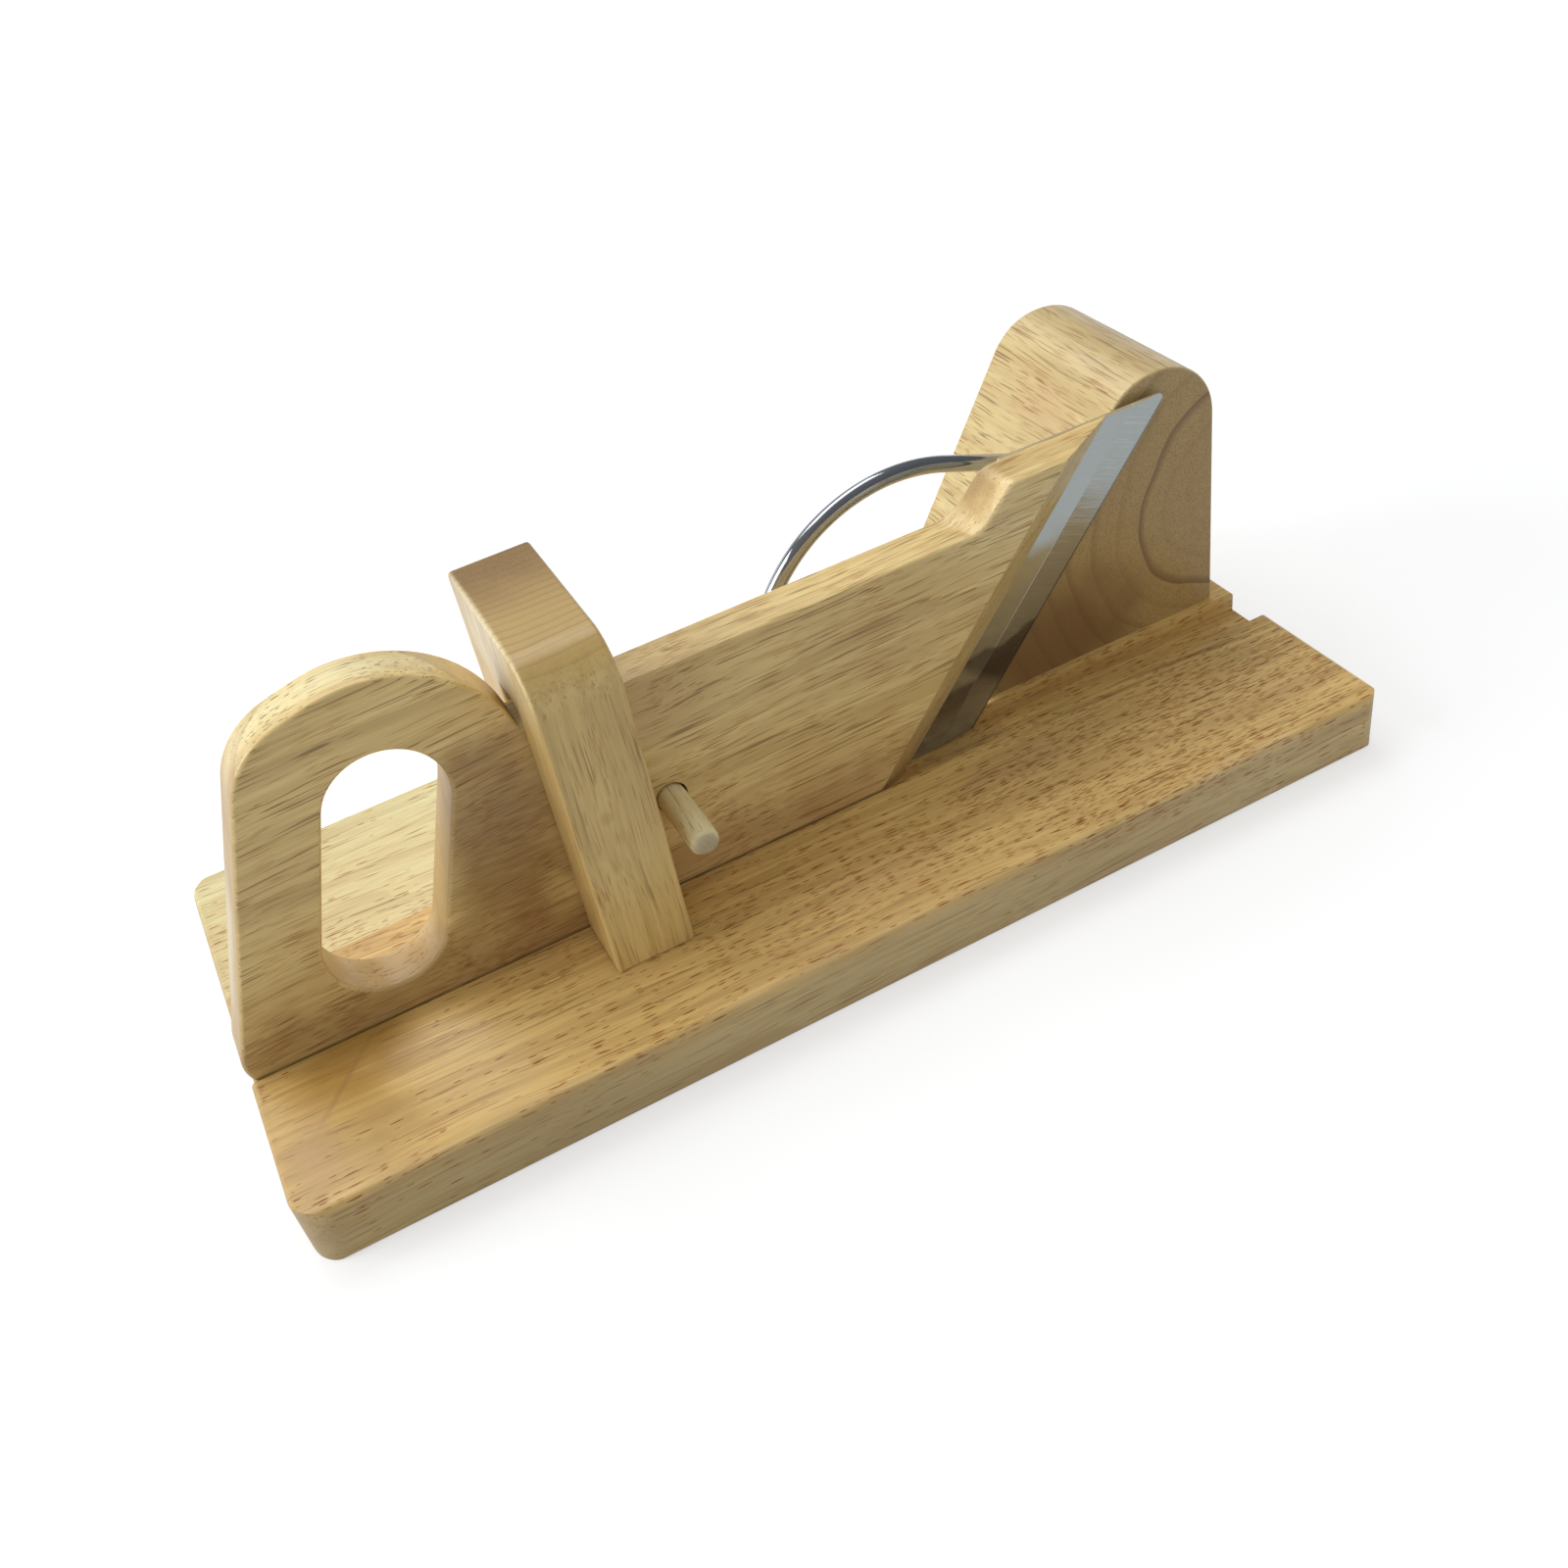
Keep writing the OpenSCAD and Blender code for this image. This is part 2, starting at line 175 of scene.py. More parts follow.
@dataclass
class Shell:
    """A mesh in the making: its points, its faces, and how far each point lies on an eased edge, from 0 to 1, which
    weighs the highlight painted along the edge.
    """

    points: np.ndarray
    faces: list[tuple[int, ...]]
    edge: np.ndarray | None = None

    def to_mesh(self, name: str) -> bpy.types.Mesh:
        """The mesh in metres, with its faces pointing outwards and its shading led by the large faces.

        Args:
            name: The mesh's name.

        Returns:
            The new mesh.
        """
        mesh = bpy.data.meshes.new(name)
        mesh.from_pydata((self.points * MM).tolist(), [], self.faces)
        work = bmesh.new()
        work.from_mesh(mesh)
        bmesh.ops.recalc_face_normals(work, faces=work.faces)
        work.to_mesh(mesh)
        work.free()
        if self.edge is not None:
            layer = mesh.attributes.new("edge", "FLOAT", "POINT")
            layer.data.foreach_set("value", self.edge.astype(np.float32))
        mesh.polygons.foreach_set("use_smooth", np.ones(len(mesh.polygons), bool))
        mesh.update()
        set_normals(mesh)
        return mesh


def set_normals(mesh: bpy.types.Mesh) -> None:
    """Gives each point the mean normal of its faces, weighted by their areas, so that flat faces shade flat."""
    count = len(mesh.polygons)
    normal, area = np.empty(count * 3), np.empty(count)
    sides = np.empty(count, int)
    corner = np.empty(len(mesh.loops), int)
    mesh.polygons.foreach_get("normal", normal)
    mesh.polygons.foreach_get("area", area)
    mesh.polygons.foreach_get("loop_total", sides)
    mesh.loops.foreach_get("vertex_index", corner)
    weighted = normal.reshape(-1, 3) * area[:, None]
    total = np.zeros((len(mesh.vertices), 3))
    np.add.at(total, corner, np.repeat(weighted, sides, axis=0))
    total /= np.maximum(np.linalg.norm(total, axis=1, keepdims=True), 1e-12)
    mesh.normals_split_custom_set_from_vertices(total.tolist())


def strip_faces(rings: int, around: int, start: int = 0) -> list[tuple[int, ...]]:
    """Four-sided faces between each ring of points and the next one, each ring being closed."""
    k, i = np.meshgrid(np.arange(rings - 1), np.arange(around), indexing="ij")
    j = (i + 1) % around
    quads = np.stack([k * around + i, k * around + j, (k + 1) * around + j, (k + 1) * around + i], axis=-1)
    return [tuple(q) for q in (quads.reshape(-1, 4) + start).tolist()]


def board_shell(rims: Sequence[Rim], low: float, high: float, axes: tuple[int, int, int], steps: int = 4) -> Shell:
    """A closed board: the first rim is its outline and the others are its holes.

    The sides are rings of points, and each flat face is filled between its outline and its holes.

    Args:
        rims: The outline, then the holes.
        low: Depth of the near face.
        high: Depth of the far face.
        axes: Which of X, Y and Z the outline's two coordinates and the depth are.
        steps: How many stretches each eased edge has.

    Returns:
        The board's shell.
    """
    points, faces, edge_highlight = [], [], []
    near_loops, far_loops, near_ids, far_ids = [], [], [], []
    start = 0
    # Peaks half-way round each eased edge; the timber finishes paint a highlight along it.
    worn = np.sin(np.linspace(0, math.pi, 2 * (steps + 1)) * 2) ** 2
    for rim in rims:
        rings = rim.rings(low, high, steps)
        count, around = rings.shape[:2]
        points.append(rings.reshape(-1, 3))
        edge_highlight.append(np.repeat(worn, around))
        faces += strip_faces(count, around, start)
        ids = np.arange(around)
        near_loops.append(rings[0])
        far_loops.append(rings[-1])
        near_ids.append(start + ids)
        far_ids.append(start + (count - 1) * around + ids)
        start += count * around
    for loops, ids in ((near_loops, near_ids), (far_loops, far_ids)):
        order = np.concatenate(ids)
        flat = [[Vector((float(p[0]), float(p[1]), 0)) for p in loop] for loop in loops]
        faces += [tuple(t) for t in order[np.asarray(tessellate_polygon(flat))].tolist()]
    raw = np.concatenate(points)
    placed = np.empty_like(raw)
    placed[:, list(axes)] = raw
    return Shell(placed, faces, np.concatenate(edge_highlight))


def capped(rings: np.ndarray, first: np.ndarray, last: np.ndarray) -> Shell:
    """A closed solid of rings of points, with a fan of three-sided faces at each end.

    Args:
        rings: Rings by points by three coordinates.
        first: The middle of the first ring's end.
        last: The middle of the last ring's end.

    Returns:
        The solid's shell.
    """
    count, around = rings.shape[:2]
    total = count * around
    i = np.arange(around)
    j = (i + 1) % around
    near = np.stack([j, i, np.full(around, total)], axis=1)
    far = np.stack([total - around + i, total - around + j, np.full(around, total + 1)], axis=1)
    fans = [tuple(f) for f in np.concatenate([near, far]).tolist()]
    points = np.concatenate([rings.reshape(-1, 3), [first], [last]])
    return Shell(points, strip_faces(count, around) + fans)


def tube_shell(path: np.ndarray, across: np.ndarray, aside: np.ndarray, radius: float, around: int) -> Shell:
    """A closed round rod: point(i, t) = path(i) + radius * (cos t * across(i) + sin t * aside(i)).

    Args:
        path: The middle of the rod, point by point.
        across: At each point of the path, one direction square to it.
        aside: At each point, the other direction square to it.
        radius: The rod's radius.
        around: How many points each ring has.

    Returns:
        The rod's shell.
    """
    t = np.linspace(0, 2 * math.pi, around, endpoint=False)[None, :, None]
    rings = path[:, None] + radius * (np.cos(t) * across[:, None] + np.sin(t) * aside[:, None])
    return capped(rings, path[0], path[-1])


def added(name: str, data: bpy.types.ID) -> bpy.types.Object:
    """A new object in the scene, with its mesh, lamp or camera."""
    thing = bpy.data.objects.new(name, data)
    bpy.context.scene.collection.objects.link(thing)
    return thing


# Shader graphs

Socket = bpy.types.NodeSocket
Feed = Socket | float | Sequence[float]
Sockets = Mapping[str, Socket]


class Graph:
    """Wires shader nodes in one node tree."""

    def __init__(self, tree: bpy.types.NodeTree) -> None:
        """Starts on an empty tree."""
        self.tree = tree
        tree.nodes.clear()

    def add(self, kind: str, feeds: dict[str | int, Feed] | None = None, **settings: object) -> bpy.types.Node:
        """A new node.

        Args:
            kind: The node's type.
            feeds: What goes into its sockets: another socket, or a plain value.
            settings: The node's own settings.

        Returns:
            The node.
        """
        node = self.tree.nodes.new(kind)
        for key, value in settings.items():
            setattr(node, key, value)
        self.wire(node, feeds or {})
        return node

    def wire(self, node: bpy.types.Node, feeds: Mapping[str | int, Feed]) -> None:
        """Feeds several of a node's inputs."""
        for key, value in feeds.items():
            self.feed(node.inputs[key], value)

    def feed(self, socket: Socket, value: Feed) -> None:
        """Links a socket into another one, or sets its plain value."""
        if isinstance(value, bpy.types.NodeSocket):
            self.tree.links.new(value, socket)
        elif isinstance(value, (int, float)):
            socket.default_value = value
        else:
            size = len(socket.default_value)
            socket.default_value = (*value, 1.0)[:size]

    def math(self, operation: str, a: Feed, b: Feed = 0.0, c: Feed = 0.0) -> Socket:
        """The result of one sum on numbers."""
        return self.add("ShaderNodeMath", {0: a, 1: b, 2: c}, operation=operation).outputs[0]

    def linear(self, a: Feed, b: Feed, c: Feed) -> Socket:
        """The number a * b + c."""
        return self.math("MULTIPLY_ADD", a, b, c)

    def product(self, *factors: Feed) -> Socket:
        """The product of numbers."""
        total = factors[0]
        for factor in factors[1:]:
            total = self.math("MULTIPLY", total, factor)
        return total

    def vector(self, operation: str, a: Feed, b: Feed = (0.0, 0.0, 0.0)) -> Socket:
        """The result of one sum on vectors: a number for a dot product or a length, and a vector otherwise."""
        node = self.add("ShaderNodeVectorMath", {0: a, 1: b}, operation=operation)
        plain = operation in ("DOT_PRODUCT", "LENGTH")
        return node.outputs["Value" if plain else "Vector"]

    def fade(self, value: Feed, start: float, end: float) -> Socket:
        """A smooth step that is 0 where value is at start and 1 where it is at end."""
        node = self.add(
            "ShaderNodeMapRange", {"Value": value, "From Min": start, "From Max": end}, interpolation_type="SMOOTHSTEP"
        )
        return node.outputs["Result"]

    def swells(self, place: Feed, long: Feed, wide: Feed) -> Socket:
        """A place in swells that are so long along X and so wide across it, in millimetres."""
        if isinstance(long, float) and isinstance(wide, float):
            return self.vector("MULTIPLY", place, (1 / long, 1 / wide, 1 / wide))
        across = self.math("DIVIDE", 1.0, wide)
        scale = self.add("ShaderNodeCombineXYZ", {0: self.math("DIVIDE", 1.0, long), 1: across, 2: across})
        return self.vector("MULTIPLY", place, scale.outputs[0])

    def noise(
        self, place: Feed, long: Feed, wide: Feed, detail: float = 2.0, roughness: float = 0.5, distortion: float = 0.0
    ) -> Socket:
        """Soft noise from 0 to 1, in swells that are so long and so wide."""
        vector = self.swells(place, long, wide)
        node = self.add(
            "ShaderNodeTexNoise",
            {"Vector": vector, "Scale": 1.0, "Detail": detail, "Roughness": roughness, "Distortion": distortion},
            noise_dimensions="3D",
        )
        return node.outputs["Fac"]

    def blend(self, share: Feed, a: Feed, b: Feed) -> Socket:
        """Colour a where share is 0 and colour b where it is 1."""
        return self.add("ShaderNodeMix", {0: share, 6: a, 7: b}, data_type="RGBA").outputs[2]

    def places(self) -> tuple[bpy.types.Node, Socket]:
        """The node of texture coordinates, and the place on the object in millimetres."""
        where = self.add("ShaderNodeTexCoord")
        return where, self.vector("MULTIPLY", where.outputs["Object"], (1 / MM,) * 3)

    def rough(self, shader: bpy.types.Node, height: Socket, strength: float, depth: float) -> bpy.types.Node:
        """Gives a shader a relief of so many metres, and returns the relief's node."""
        relief = self.add("ShaderNodeBump", {"Strength": strength, "Distance": depth, "Height": height})
        self.feed(shader.inputs["Normal"], relief.outputs[0])
        return relief

    def group(self, tree: bpy.types.NodeTree, feeds: dict[str, Feed]) -> bpy.types.Node:
        """One use of a shared node group, with its own values."""
        return self.add("ShaderNodeGroup", feeds, node_tree=tree)


VECTORS = ("Vector", "Centre", "Size")
END_GRAIN = (0.45, 1.0)
SIDE_GRAIN = (0.0, 0.09)


def new_group(name: str, takes: Sequence[str], gives: Sequence[str]) -> tuple[Graph, Sockets, bpy.types.Node]:
    """An empty shared group, whose sockets hold numbers but for those named in VECTORS.

    Args:
        name: The group's name.
        takes: The names of its inputs.
        gives: The names of its outputs.

    Returns:
        The group's graph, the sockets that its inputs come from, and its output node.
    """
    tree = bpy.data.node_groups.new(name, "ShaderNodeTree")
    for side, keys in (("INPUT", takes), ("OUTPUT", gives)):
        for key in keys:
            kind = "NodeSocketVector" if key in VECTORS else "NodeSocketFloat"
            tree.interface.new_socket(key, in_out=side, socket_type=kind)
    graph = Graph(tree)
    return graph, graph.add("NodeGroupInput").outputs, graph.add("NodeGroupOutput")


class Grain(Enum):
    """Which way a piece's grain runs, as the turn in degrees that lays the grain along the pattern's X."""

    ALONG_X = (0.0, 0.0, 0.0)
    ALONG_Y = (0.0, 0.0, -90.0)
    ALONG_Z = (0.0, 90.0, 0.0)

    @property
    def direction(self) -> Triple:
        """The grain's direction on the piece."""
        return {"ALONG_X": (1.0, 0.0, 0.0), "ALONG_Y": (0.0, 1.0, 0.0), "ALONG_Z": (0.0, 0.0, 1.0)}[self.name]


class SharedPatterns:
    """The node groups that more than one finish uses, each made once.

    The constants are how long and how wide the swells of each noise are, in millimetres.
    """

    DRIFT = (55.0, 24.0)
    WARP = (110.0, 34.0)
    STREAK_LENGTH = 70.0
    FIBRE = (11.0, 0.42)
    STRIPE = (34.0, 1.15)
    THREAD = (30.0, 0.5)
    CLOUD = (60.0, 21.0)
    RAGGED = (14.0, 14.0)
    SMEAR = (9.0, 5.0)

    def __init__(self) -> None:
        """Makes all the groups."""
        self.drift = self._drift()
        self.figure = self._figure()
        self.pores = self._pores()
        self.patch = self._patch()
        self.scratches = self._scratches()

    def _drift(self) -> bpy.types.NodeTree:
        """The slow wander of the grain: a soft push across it, in millimetres, that changes along it."""
        graph, takes, gives = new_group("grain drift", ["Vector", "Reach"], ["Vector"])
        place = takes["Vector"]
        swell = graph.add(
            "ShaderNodeTexNoise",
            {"Vector": graph.swells(place, *self.DRIFT), "Scale": 1.0, "Detail": 1.0},
            noise_dimensions="3D",
        )
        push = graph.vector("SUBTRACT", swell.outputs["Color"], (0.5, 0.5, 0.5))
        push = graph.vector("MULTIPLY", push, (0.0, 1.0, 1.0))
        scale = graph.add("ShaderNodeVectorMath", {0: push}, operation="SCALE")
        graph.feed(scale.inputs["Scale"], takes["Reach"])
        graph.wire(gives, {"Vector": graph.vector("ADD", place, scale.outputs["Vector"])})
        return graph.tree

    def _figure(self) -> bpy.types.NodeTree:
        """Timber's figure in millimetres, with the grain along X and the pith on the X axis.

        A growth ring is a dark line where the distance to the pith, bent by a slow noise, passes a whole number of
        ring gaps, and each ring has its own strength. Streaks and fibres are noise stretched along the grain.
        """
        graph, takes, gives = new_group(
            "timber figure",
            ["Vector", "Ring Gap", "Ring Warp", "Streak"],
            ["Ring", "Radius", "Streak", "Fibre", "Stripe", "Thread", "Cloud"],
        )
        place = takes["Vector"]
        slow = graph.noise(place, *self.WARP)
        bend = graph.product(graph.math("SUBTRACT", slow, 0.5), takes["Ring Warp"])
        flat = graph.vector("MULTIPLY", place, (0.0, 1.0, 1.0))
        radius = graph.math("ADD", graph.vector("LENGTH", flat), bend)
        ring = graph.math("DIVIDE", radius, takes["Ring Gap"])
        saw = graph.math("FRACT", ring)
        rise = graph.product(graph.fade(saw, 0.6, 0.96), graph.fade(saw, 1.0, 0.97))
        own = graph.add("ShaderNodeTexWhiteNoise", {"W": graph.math("FLOOR", ring)}, noise_dimensions="1D")
        strength = graph.linear(own.outputs["Value"], 0.6, 0.4)
        streak = graph.noise(place, self.STREAK_LENGTH, takes["Streak"], 3.0, 0.55)
        stripe = graph.noise(place, *self.STRIPE, 2.0, 0.6)
        thread = graph.noise(place, *self.THREAD, 1.0)
        cloud = graph.noise(place, *self.CLOUD, distortion=0.3)
        results = {
            "Ring": graph.product(rise, strength),
            "Radius": radius,
            "Streak": graph.fade(streak, 0.32, 0.7),
            "Fibre": graph.noise(place, *self.FIBRE, 2.0, 0.6),
            "Stripe": graph.fade(stripe, 0.42, 0.68),
            "Thread": graph.fade(thread, 0.6, 0.7),
            "Cloud": graph.fade(cloud, 0.3, 0.7),
        }
        graph.wire(gives, results)
        return graph.tree

    def _pores(self) -> bpy.types.NodeTree:
        """Open pores in millimetres, with the grain along X: dashes beside the grain and dots across it.

        Space is cut into cells stretched along the grain. A cell has a pore at its middle if its own random number
        is under the density, and the pore's depth is random too.
        """
        graph, takes, gives = new_group("timber pores", ["Vector", "Length", "Width", "Density"], ["Mask"])
        place = graph.swells(takes["Vector"], takes["Length"], takes["Width"])
        cells = graph.add("ShaderNodeTexVoronoi", {"Vector": place, "Scale": 1.0}, voronoi_dimensions="3D")
        own = graph.add("ShaderNodeSeparateColor", {0: cells.outputs["Color"]})
        there = graph.math("LESS_THAN", own.outputs[0], takes["Density"])
        depth = graph.linear(own.outputs[1], 0.6, 0.4)
        dash = graph.fade(cells.outputs["Distance"], 0.38, 0.22)
        graph.wire(gives, {"Mask": graph.product(dash, there, depth)})
        return graph.tree

    def _patch(self) -> bpy.types.NodeTree:
        """A soft patch: 1 at its centre, fading out at its size, with a ragged rim from slow noise."""
        graph, takes, gives = new_group("soft patch", ["Vector", "Centre", "Size", "Turn", "Ragged"], ["Mask"])
        place = takes["Vector"]
        turned = graph.add(
            "ShaderNodeVectorRotate",
            {"Vector": place, "Center": takes["Centre"], "Angle": takes["Turn"]},
            rotation_type="Z_AXIS",
        ).outputs[0]
        away = graph.vector("SUBTRACT", turned, takes["Centre"])
        away = graph.vector("DIVIDE", away, takes["Size"])
        wobble = graph.math("SUBTRACT", graph.noise(place, *self.RAGGED), 0.5)
        bent = graph.linear(wobble, takes["Ragged"], graph.vector("LENGTH", away))
        graph.wire(gives, {"Mask": graph.fade(bent, 1.0, 0.25)})
        return graph.tree

    def _scratches(self) -> bpy.types.NodeTree:
        """Fine lines along X, in millimetres, with a slow smear over them."""
        graph, takes, gives = new_group("fine scratches", ["Vector", "Spacing", "Length"], ["Lines", "Smear"])
        place = takes["Vector"]
        lines = graph.noise(place, takes["Length"], takes["Spacing"], 3.0, 0.65)
        smear = graph.noise(place, *self.SMEAR)
        graph.wire(gives, {"Lines": lines, "Smear": graph.fade(smear, 0.3, 0.7)})
        return graph.tree


def fresh_material(name: str) -> tuple[bpy.types.Material, Graph, bpy.types.Node]:
    """A material with one Principled shader.

    Args:
        name: The material's name.

    Returns:
        The material, its graph and its shader node.
    """
    material = bpy.data.materials.new(name)
    material.use_nodes = True
    graph = Graph(material.node_tree)
    shader = graph.add("ShaderNodeBsdfPrincipled")
    graph.add("ShaderNodeOutputMaterial", {"Surface": shader.outputs[0]})
    return material, graph, shader


@dataclass(frozen=True)
class Patch:
    """A place on a piece with a tone of its own: an amber cloud, a pale band or a speckled stretch; some are painted
    shade or painted sheen.

    Its centre and its size to each side are in millimetres, and it is turned by so many degrees about Z. strength is
    how far it takes on its colour, ragged is how uneven its rim is, and pores is how many more pores it has.
    """

    centre: Triple
    size: Triple
    colour: Colour
    strength: float = 1.0
    ragged: float = 0.8
    pores: float = 0.0
    turn: float = 0.0


@dataclass(frozen=True)
class Pores:
    """One size of open pore: the cell that each one lies in, how many cells have one, and how dark it is."""

    length: float
    width: float
    density: float
    strength: float


@dataclass(frozen=True)
class Stave:
    """A second strip of wood glued beside the first, behind the plane y = seam, with its own tone.

    hop is how far along the grain its figure is from the first strip's, as another cut of the same wood.
    """

    seam: float
    pale: Colour
    dark: Colour
    hop: float = 260.0


@dataclass(frozen=True)
class TimberFinish:
    """Satin lacquer on a pale tropical hardwood. Lengths are in millimetres and colours are linear.

    halo is the factor on the wood's colour around each pore, whose middle has the colour pore.
    """

    name: str
    grain: Grain
    pale: Colour = (0.72, 0.55, 0.27)
    dark: Colour = (0.55, 0.37, 0.15)
    ring: Colour = (0.42, 0.26, 0.1)
    pore: Colour = (0.22, 0.09, 0.015)
    halo: Colour = (0.78, 0.5, 0.24)
    end: Colour = (0.52, 0.36, 0.19)
    pith: Triple = (0.0, 30.0, 60.0)
    tilt: Triple = (0.0, 1.2, 1.6)
    ring_gap: float = 9.0
    ring_warp: float = 16.0
    ring_strength: float = 0.7
    ring_clear: float = -10.0
    ring_least: float = 0.15
    ring_side: float = 1.0
    streak: float = 3.2
    streak_strength: float = 0.8
    cloud: Colour = (0.6, 0.4, 0.17)
    cloud_strength: float = 0.35
    stripe_strength: float = 0.4
    thread_strength: float = 0.6
    fibre_strength: float = 0.3
    drift: float = 5.0
    coarse: Pores = Pores(10.0, 0.75, 0.5, 0.75)
    fine: Pores = Pores(4.5, 0.5, 0.45, 0.45)
    end_strength: float = 0.8
    end_pores: float = 0.15
    end_speck: float = 0.15
    roughness: float = 0.42
    coat: float = 0.45
    coat_roughness: float = 0.3
    fibre_gloss: float = 0.12
    halo_reach: float = 1.5
    relief: float = 0.0001
    relief_strength: float = 0.3
    relief_fibre: float = 0.25
    # How far the eased edges are lightened, a painted highlight, and how their roughness changes.
    rim_highlight: float = 0.16
    rim_gloss: float = -0.05
    pore_gloss: float = 0.3
    patches: tuple[Patch, ...] = ()
    stave: Stave | None = None

    def _placed(self, graph: Graph, place: Socket) -> Socket:
        """The pattern's own coordinates in millimetres: the grain along X and the pith on the X axis."""
        turn = Euler([math.radians(a + b) for a, b in zip(self.grain.value, self.tilt)])
        offset = -(turn.to_matrix() @ Vector(self.pith))
        node = graph.add(
            "ShaderNodeMapping",
            {"Vector": place, "Location": tuple(offset), "Rotation": tuple(turn), "Scale": (1000.0,) * 3},
            vector_type="POINT",
        )
        return node.outputs[0]

    def _staves(self, graph: Graph, place: Socket, grain: Socket) -> tuple[Socket, Feed, Feed]:
        """The grain's coordinates and the pale and dark tones, which all change at the seam to a second stave."""
        if self.stave is None:
            return grain, self.pale, self.dark
        depth = graph.add("ShaderNodeSeparateXYZ", {0: place}).outputs[1]
        behind = graph.math("GREATER_THAN", depth, self.stave.seam)
        hop = graph.add("ShaderNodeCombineXYZ", {0: graph.product(behind, self.stave.hop), 2: behind})
        pale = graph.blend(behind, self.pale, self.stave.pale)
        dark = graph.blend(behind, self.dark, self.stave.dark)
        return graph.vector("ADD", grain, hop.outputs[0]), pale, dark

    def _patched(self, graph: Graph, shared: SharedPatterns, place: Socket, colour: Socket) -> tuple[Socket, Feed]:
        """The colour under the patches, and how many more pores they bring."""
        more: Feed = 0.0
        for patch in self.patches:
            feeds = {
                "Vector": place,
                "Centre": patch.centre,
                "Size": patch.size,
                "Turn": -math.radians(patch.turn),
                "Ragged": patch.ragged,
            }
            mask = graph.group(shared.patch, feeds).outputs["Mask"]
            colour = graph.blend(graph.product(mask, patch.strength), colour, patch.colour)
            more = graph.linear(mask, patch.pores, more)
        return colour, more

    def _ringed(self, graph: Graph, figure: Sockets, across: Socket, colour: Socket) -> Socket:
        """The colour with growth rings: none in the core, one clear one, and faint ones outside it."""
        radius = figure["Radius"]
        core = graph.fade(radius, self.ring_clear - 4.0, self.ring_clear - 2.0)
        faint = graph.fade(radius, self.ring_clear + 1.5, self.ring_clear + 4.0)
        ring = graph.product(core, graph.linear(faint, -0.5, 1.0))
        ring = graph.math("MAXIMUM", ring, self.ring_least)
        ring = graph.product(figure["Ring"], ring, self.ring_strength)
        ring = graph.product(ring, graph.linear(across, 1.0 - self.ring_side, self.ring_side))
        return graph.blend(ring, colour, self.ring)

    def _lined(self, graph: Graph, figure: Sockets, across: Socket, dark: Feed, colour: Socket) -> Socket:
        """The colour with fibres, and with stripes and threads beside the grain or specks across it."""
        beside = graph.math("SUBTRACT", 1.0, across)
        fibre = graph.product(graph.fade(figure["Fibre"], 0.35, 0.75), self.fibre_strength)
        colour = graph.blend(fibre, colour, self.dark)
        stripe = graph.product(figure["Stripe"], beside, self.stripe_strength)
        colour = graph.blend(stripe, colour, graph.blend(0.4, dark, self.ring))
        speck = graph.product(graph.fade(figure["Fibre"], 0.46, 0.66), self.end_speck, across)
        colour = graph.blend(speck, colour, self.ring)
        return graph.blend(graph.product(figure["Thread"], self.thread_strength, beside), colour, self.ring)

    def _open_pores(
        self, graph: Graph, shared: SharedPatterns, grain: Socket, cloud: Socket, facing: Socket, more: Feed
    ) -> Socket:
        """How open the pores are: full beside the grain, and few as soon as a face turns across it."""
        uneven = graph.linear(cloud, 0.7, 0.4)
        total: Feed = 0.0
        for pores in (self.coarse, self.fine):
            density = graph.product(graph.math("ADD", more, pores.density), uneven)
            feeds = {"Vector": grain, "Length": pores.length, "Width": pores.width, "Density": density}
            mask = graph.group(shared.pores, feeds).outputs["Mask"]
            total = graph.math("MAXIMUM", total, graph.product(mask, pores.strength))
        turning = graph.fade(facing, *SIDE_GRAIN)
        return graph.product(total, graph.linear(turning, self.end_pores - 1.0, 1.0))

    def material(self, shared: SharedPatterns) -> bpy.types.Material:
        """Builds the finish from the shared patterns."""
        material, graph, shader = fresh_material(self.name)
        where, place = graph.places()
        grain, pale, dark = self._staves(graph, place, self._placed(graph, where.outputs["Object"]))
        grain = graph.group(shared.drift, {"Vector": grain, "Reach": self.drift}).outputs["Vector"]
        figure = graph.group(
            shared.figure,
            {"Vector": grain, "Ring Gap": self.ring_gap, "Ring Warp": self.ring_warp, "Streak": self.streak},
        ).outputs
        cloud = figure["Cloud"]
        facing = graph.math("ABSOLUTE", graph.vector("DOT_PRODUCT", where.outputs["Normal"], self.grain.direction))
        across = graph.fade(facing, *END_GRAIN)
        colour = graph.blend(graph.product(figure["Streak"], self.streak_strength), pale, dark)
        colour = graph.blend(graph.product(cloud, self.cloud_strength), colour, self.cloud)
        colour = graph.blend(graph.product(across, self.end_strength), colour, self.end)
        colour, more = self._patched(graph, shared, place, colour)
        colour = self._ringed(graph, figure, across, colour)
        colour = self._lined(graph, figure, across, dark, colour)
        pores = self._open_pores(graph, shared, grain, cloud, facing, more)
        warm = graph.math("MINIMUM", graph.product(pores, self.halo_reach), 1.0)
        colour = graph.blend(warm, colour, graph.vector("MULTIPLY", colour, self.halo))
        colour = graph.blend(graph.product(pores, pores), colour, self.pore)
        # Painted highlight: the eased edges are lightened towards the pale tone.
        rim = graph.add("ShaderNodeAttribute", attribute_name="edge", attribute_type="GEOMETRY").outputs["Fac"]
        colour = graph.blend(graph.product(rim, self.rim_highlight), colour, self.pale)
        gloss = graph.linear(figure["Fibre"], self.fibre_gloss, self.roughness - self.fibre_gloss / 2)
        gloss = graph.linear(pores, self.pore_gloss, gloss)
        gloss = graph.linear(rim, self.rim_gloss, gloss)
        lacquer = {"Coat Weight": self.coat, "Coat Roughness": self.coat_roughness}
        graph.wire(shader, {"Base Color": colour, "Roughness": gloss, **lacquer})
        height = graph.linear(pores, -1.0, graph.product(figure["Fibre"], self.relief_fibre))
        graph.rough(shader, height, self.relief_strength, self.relief)
        return material


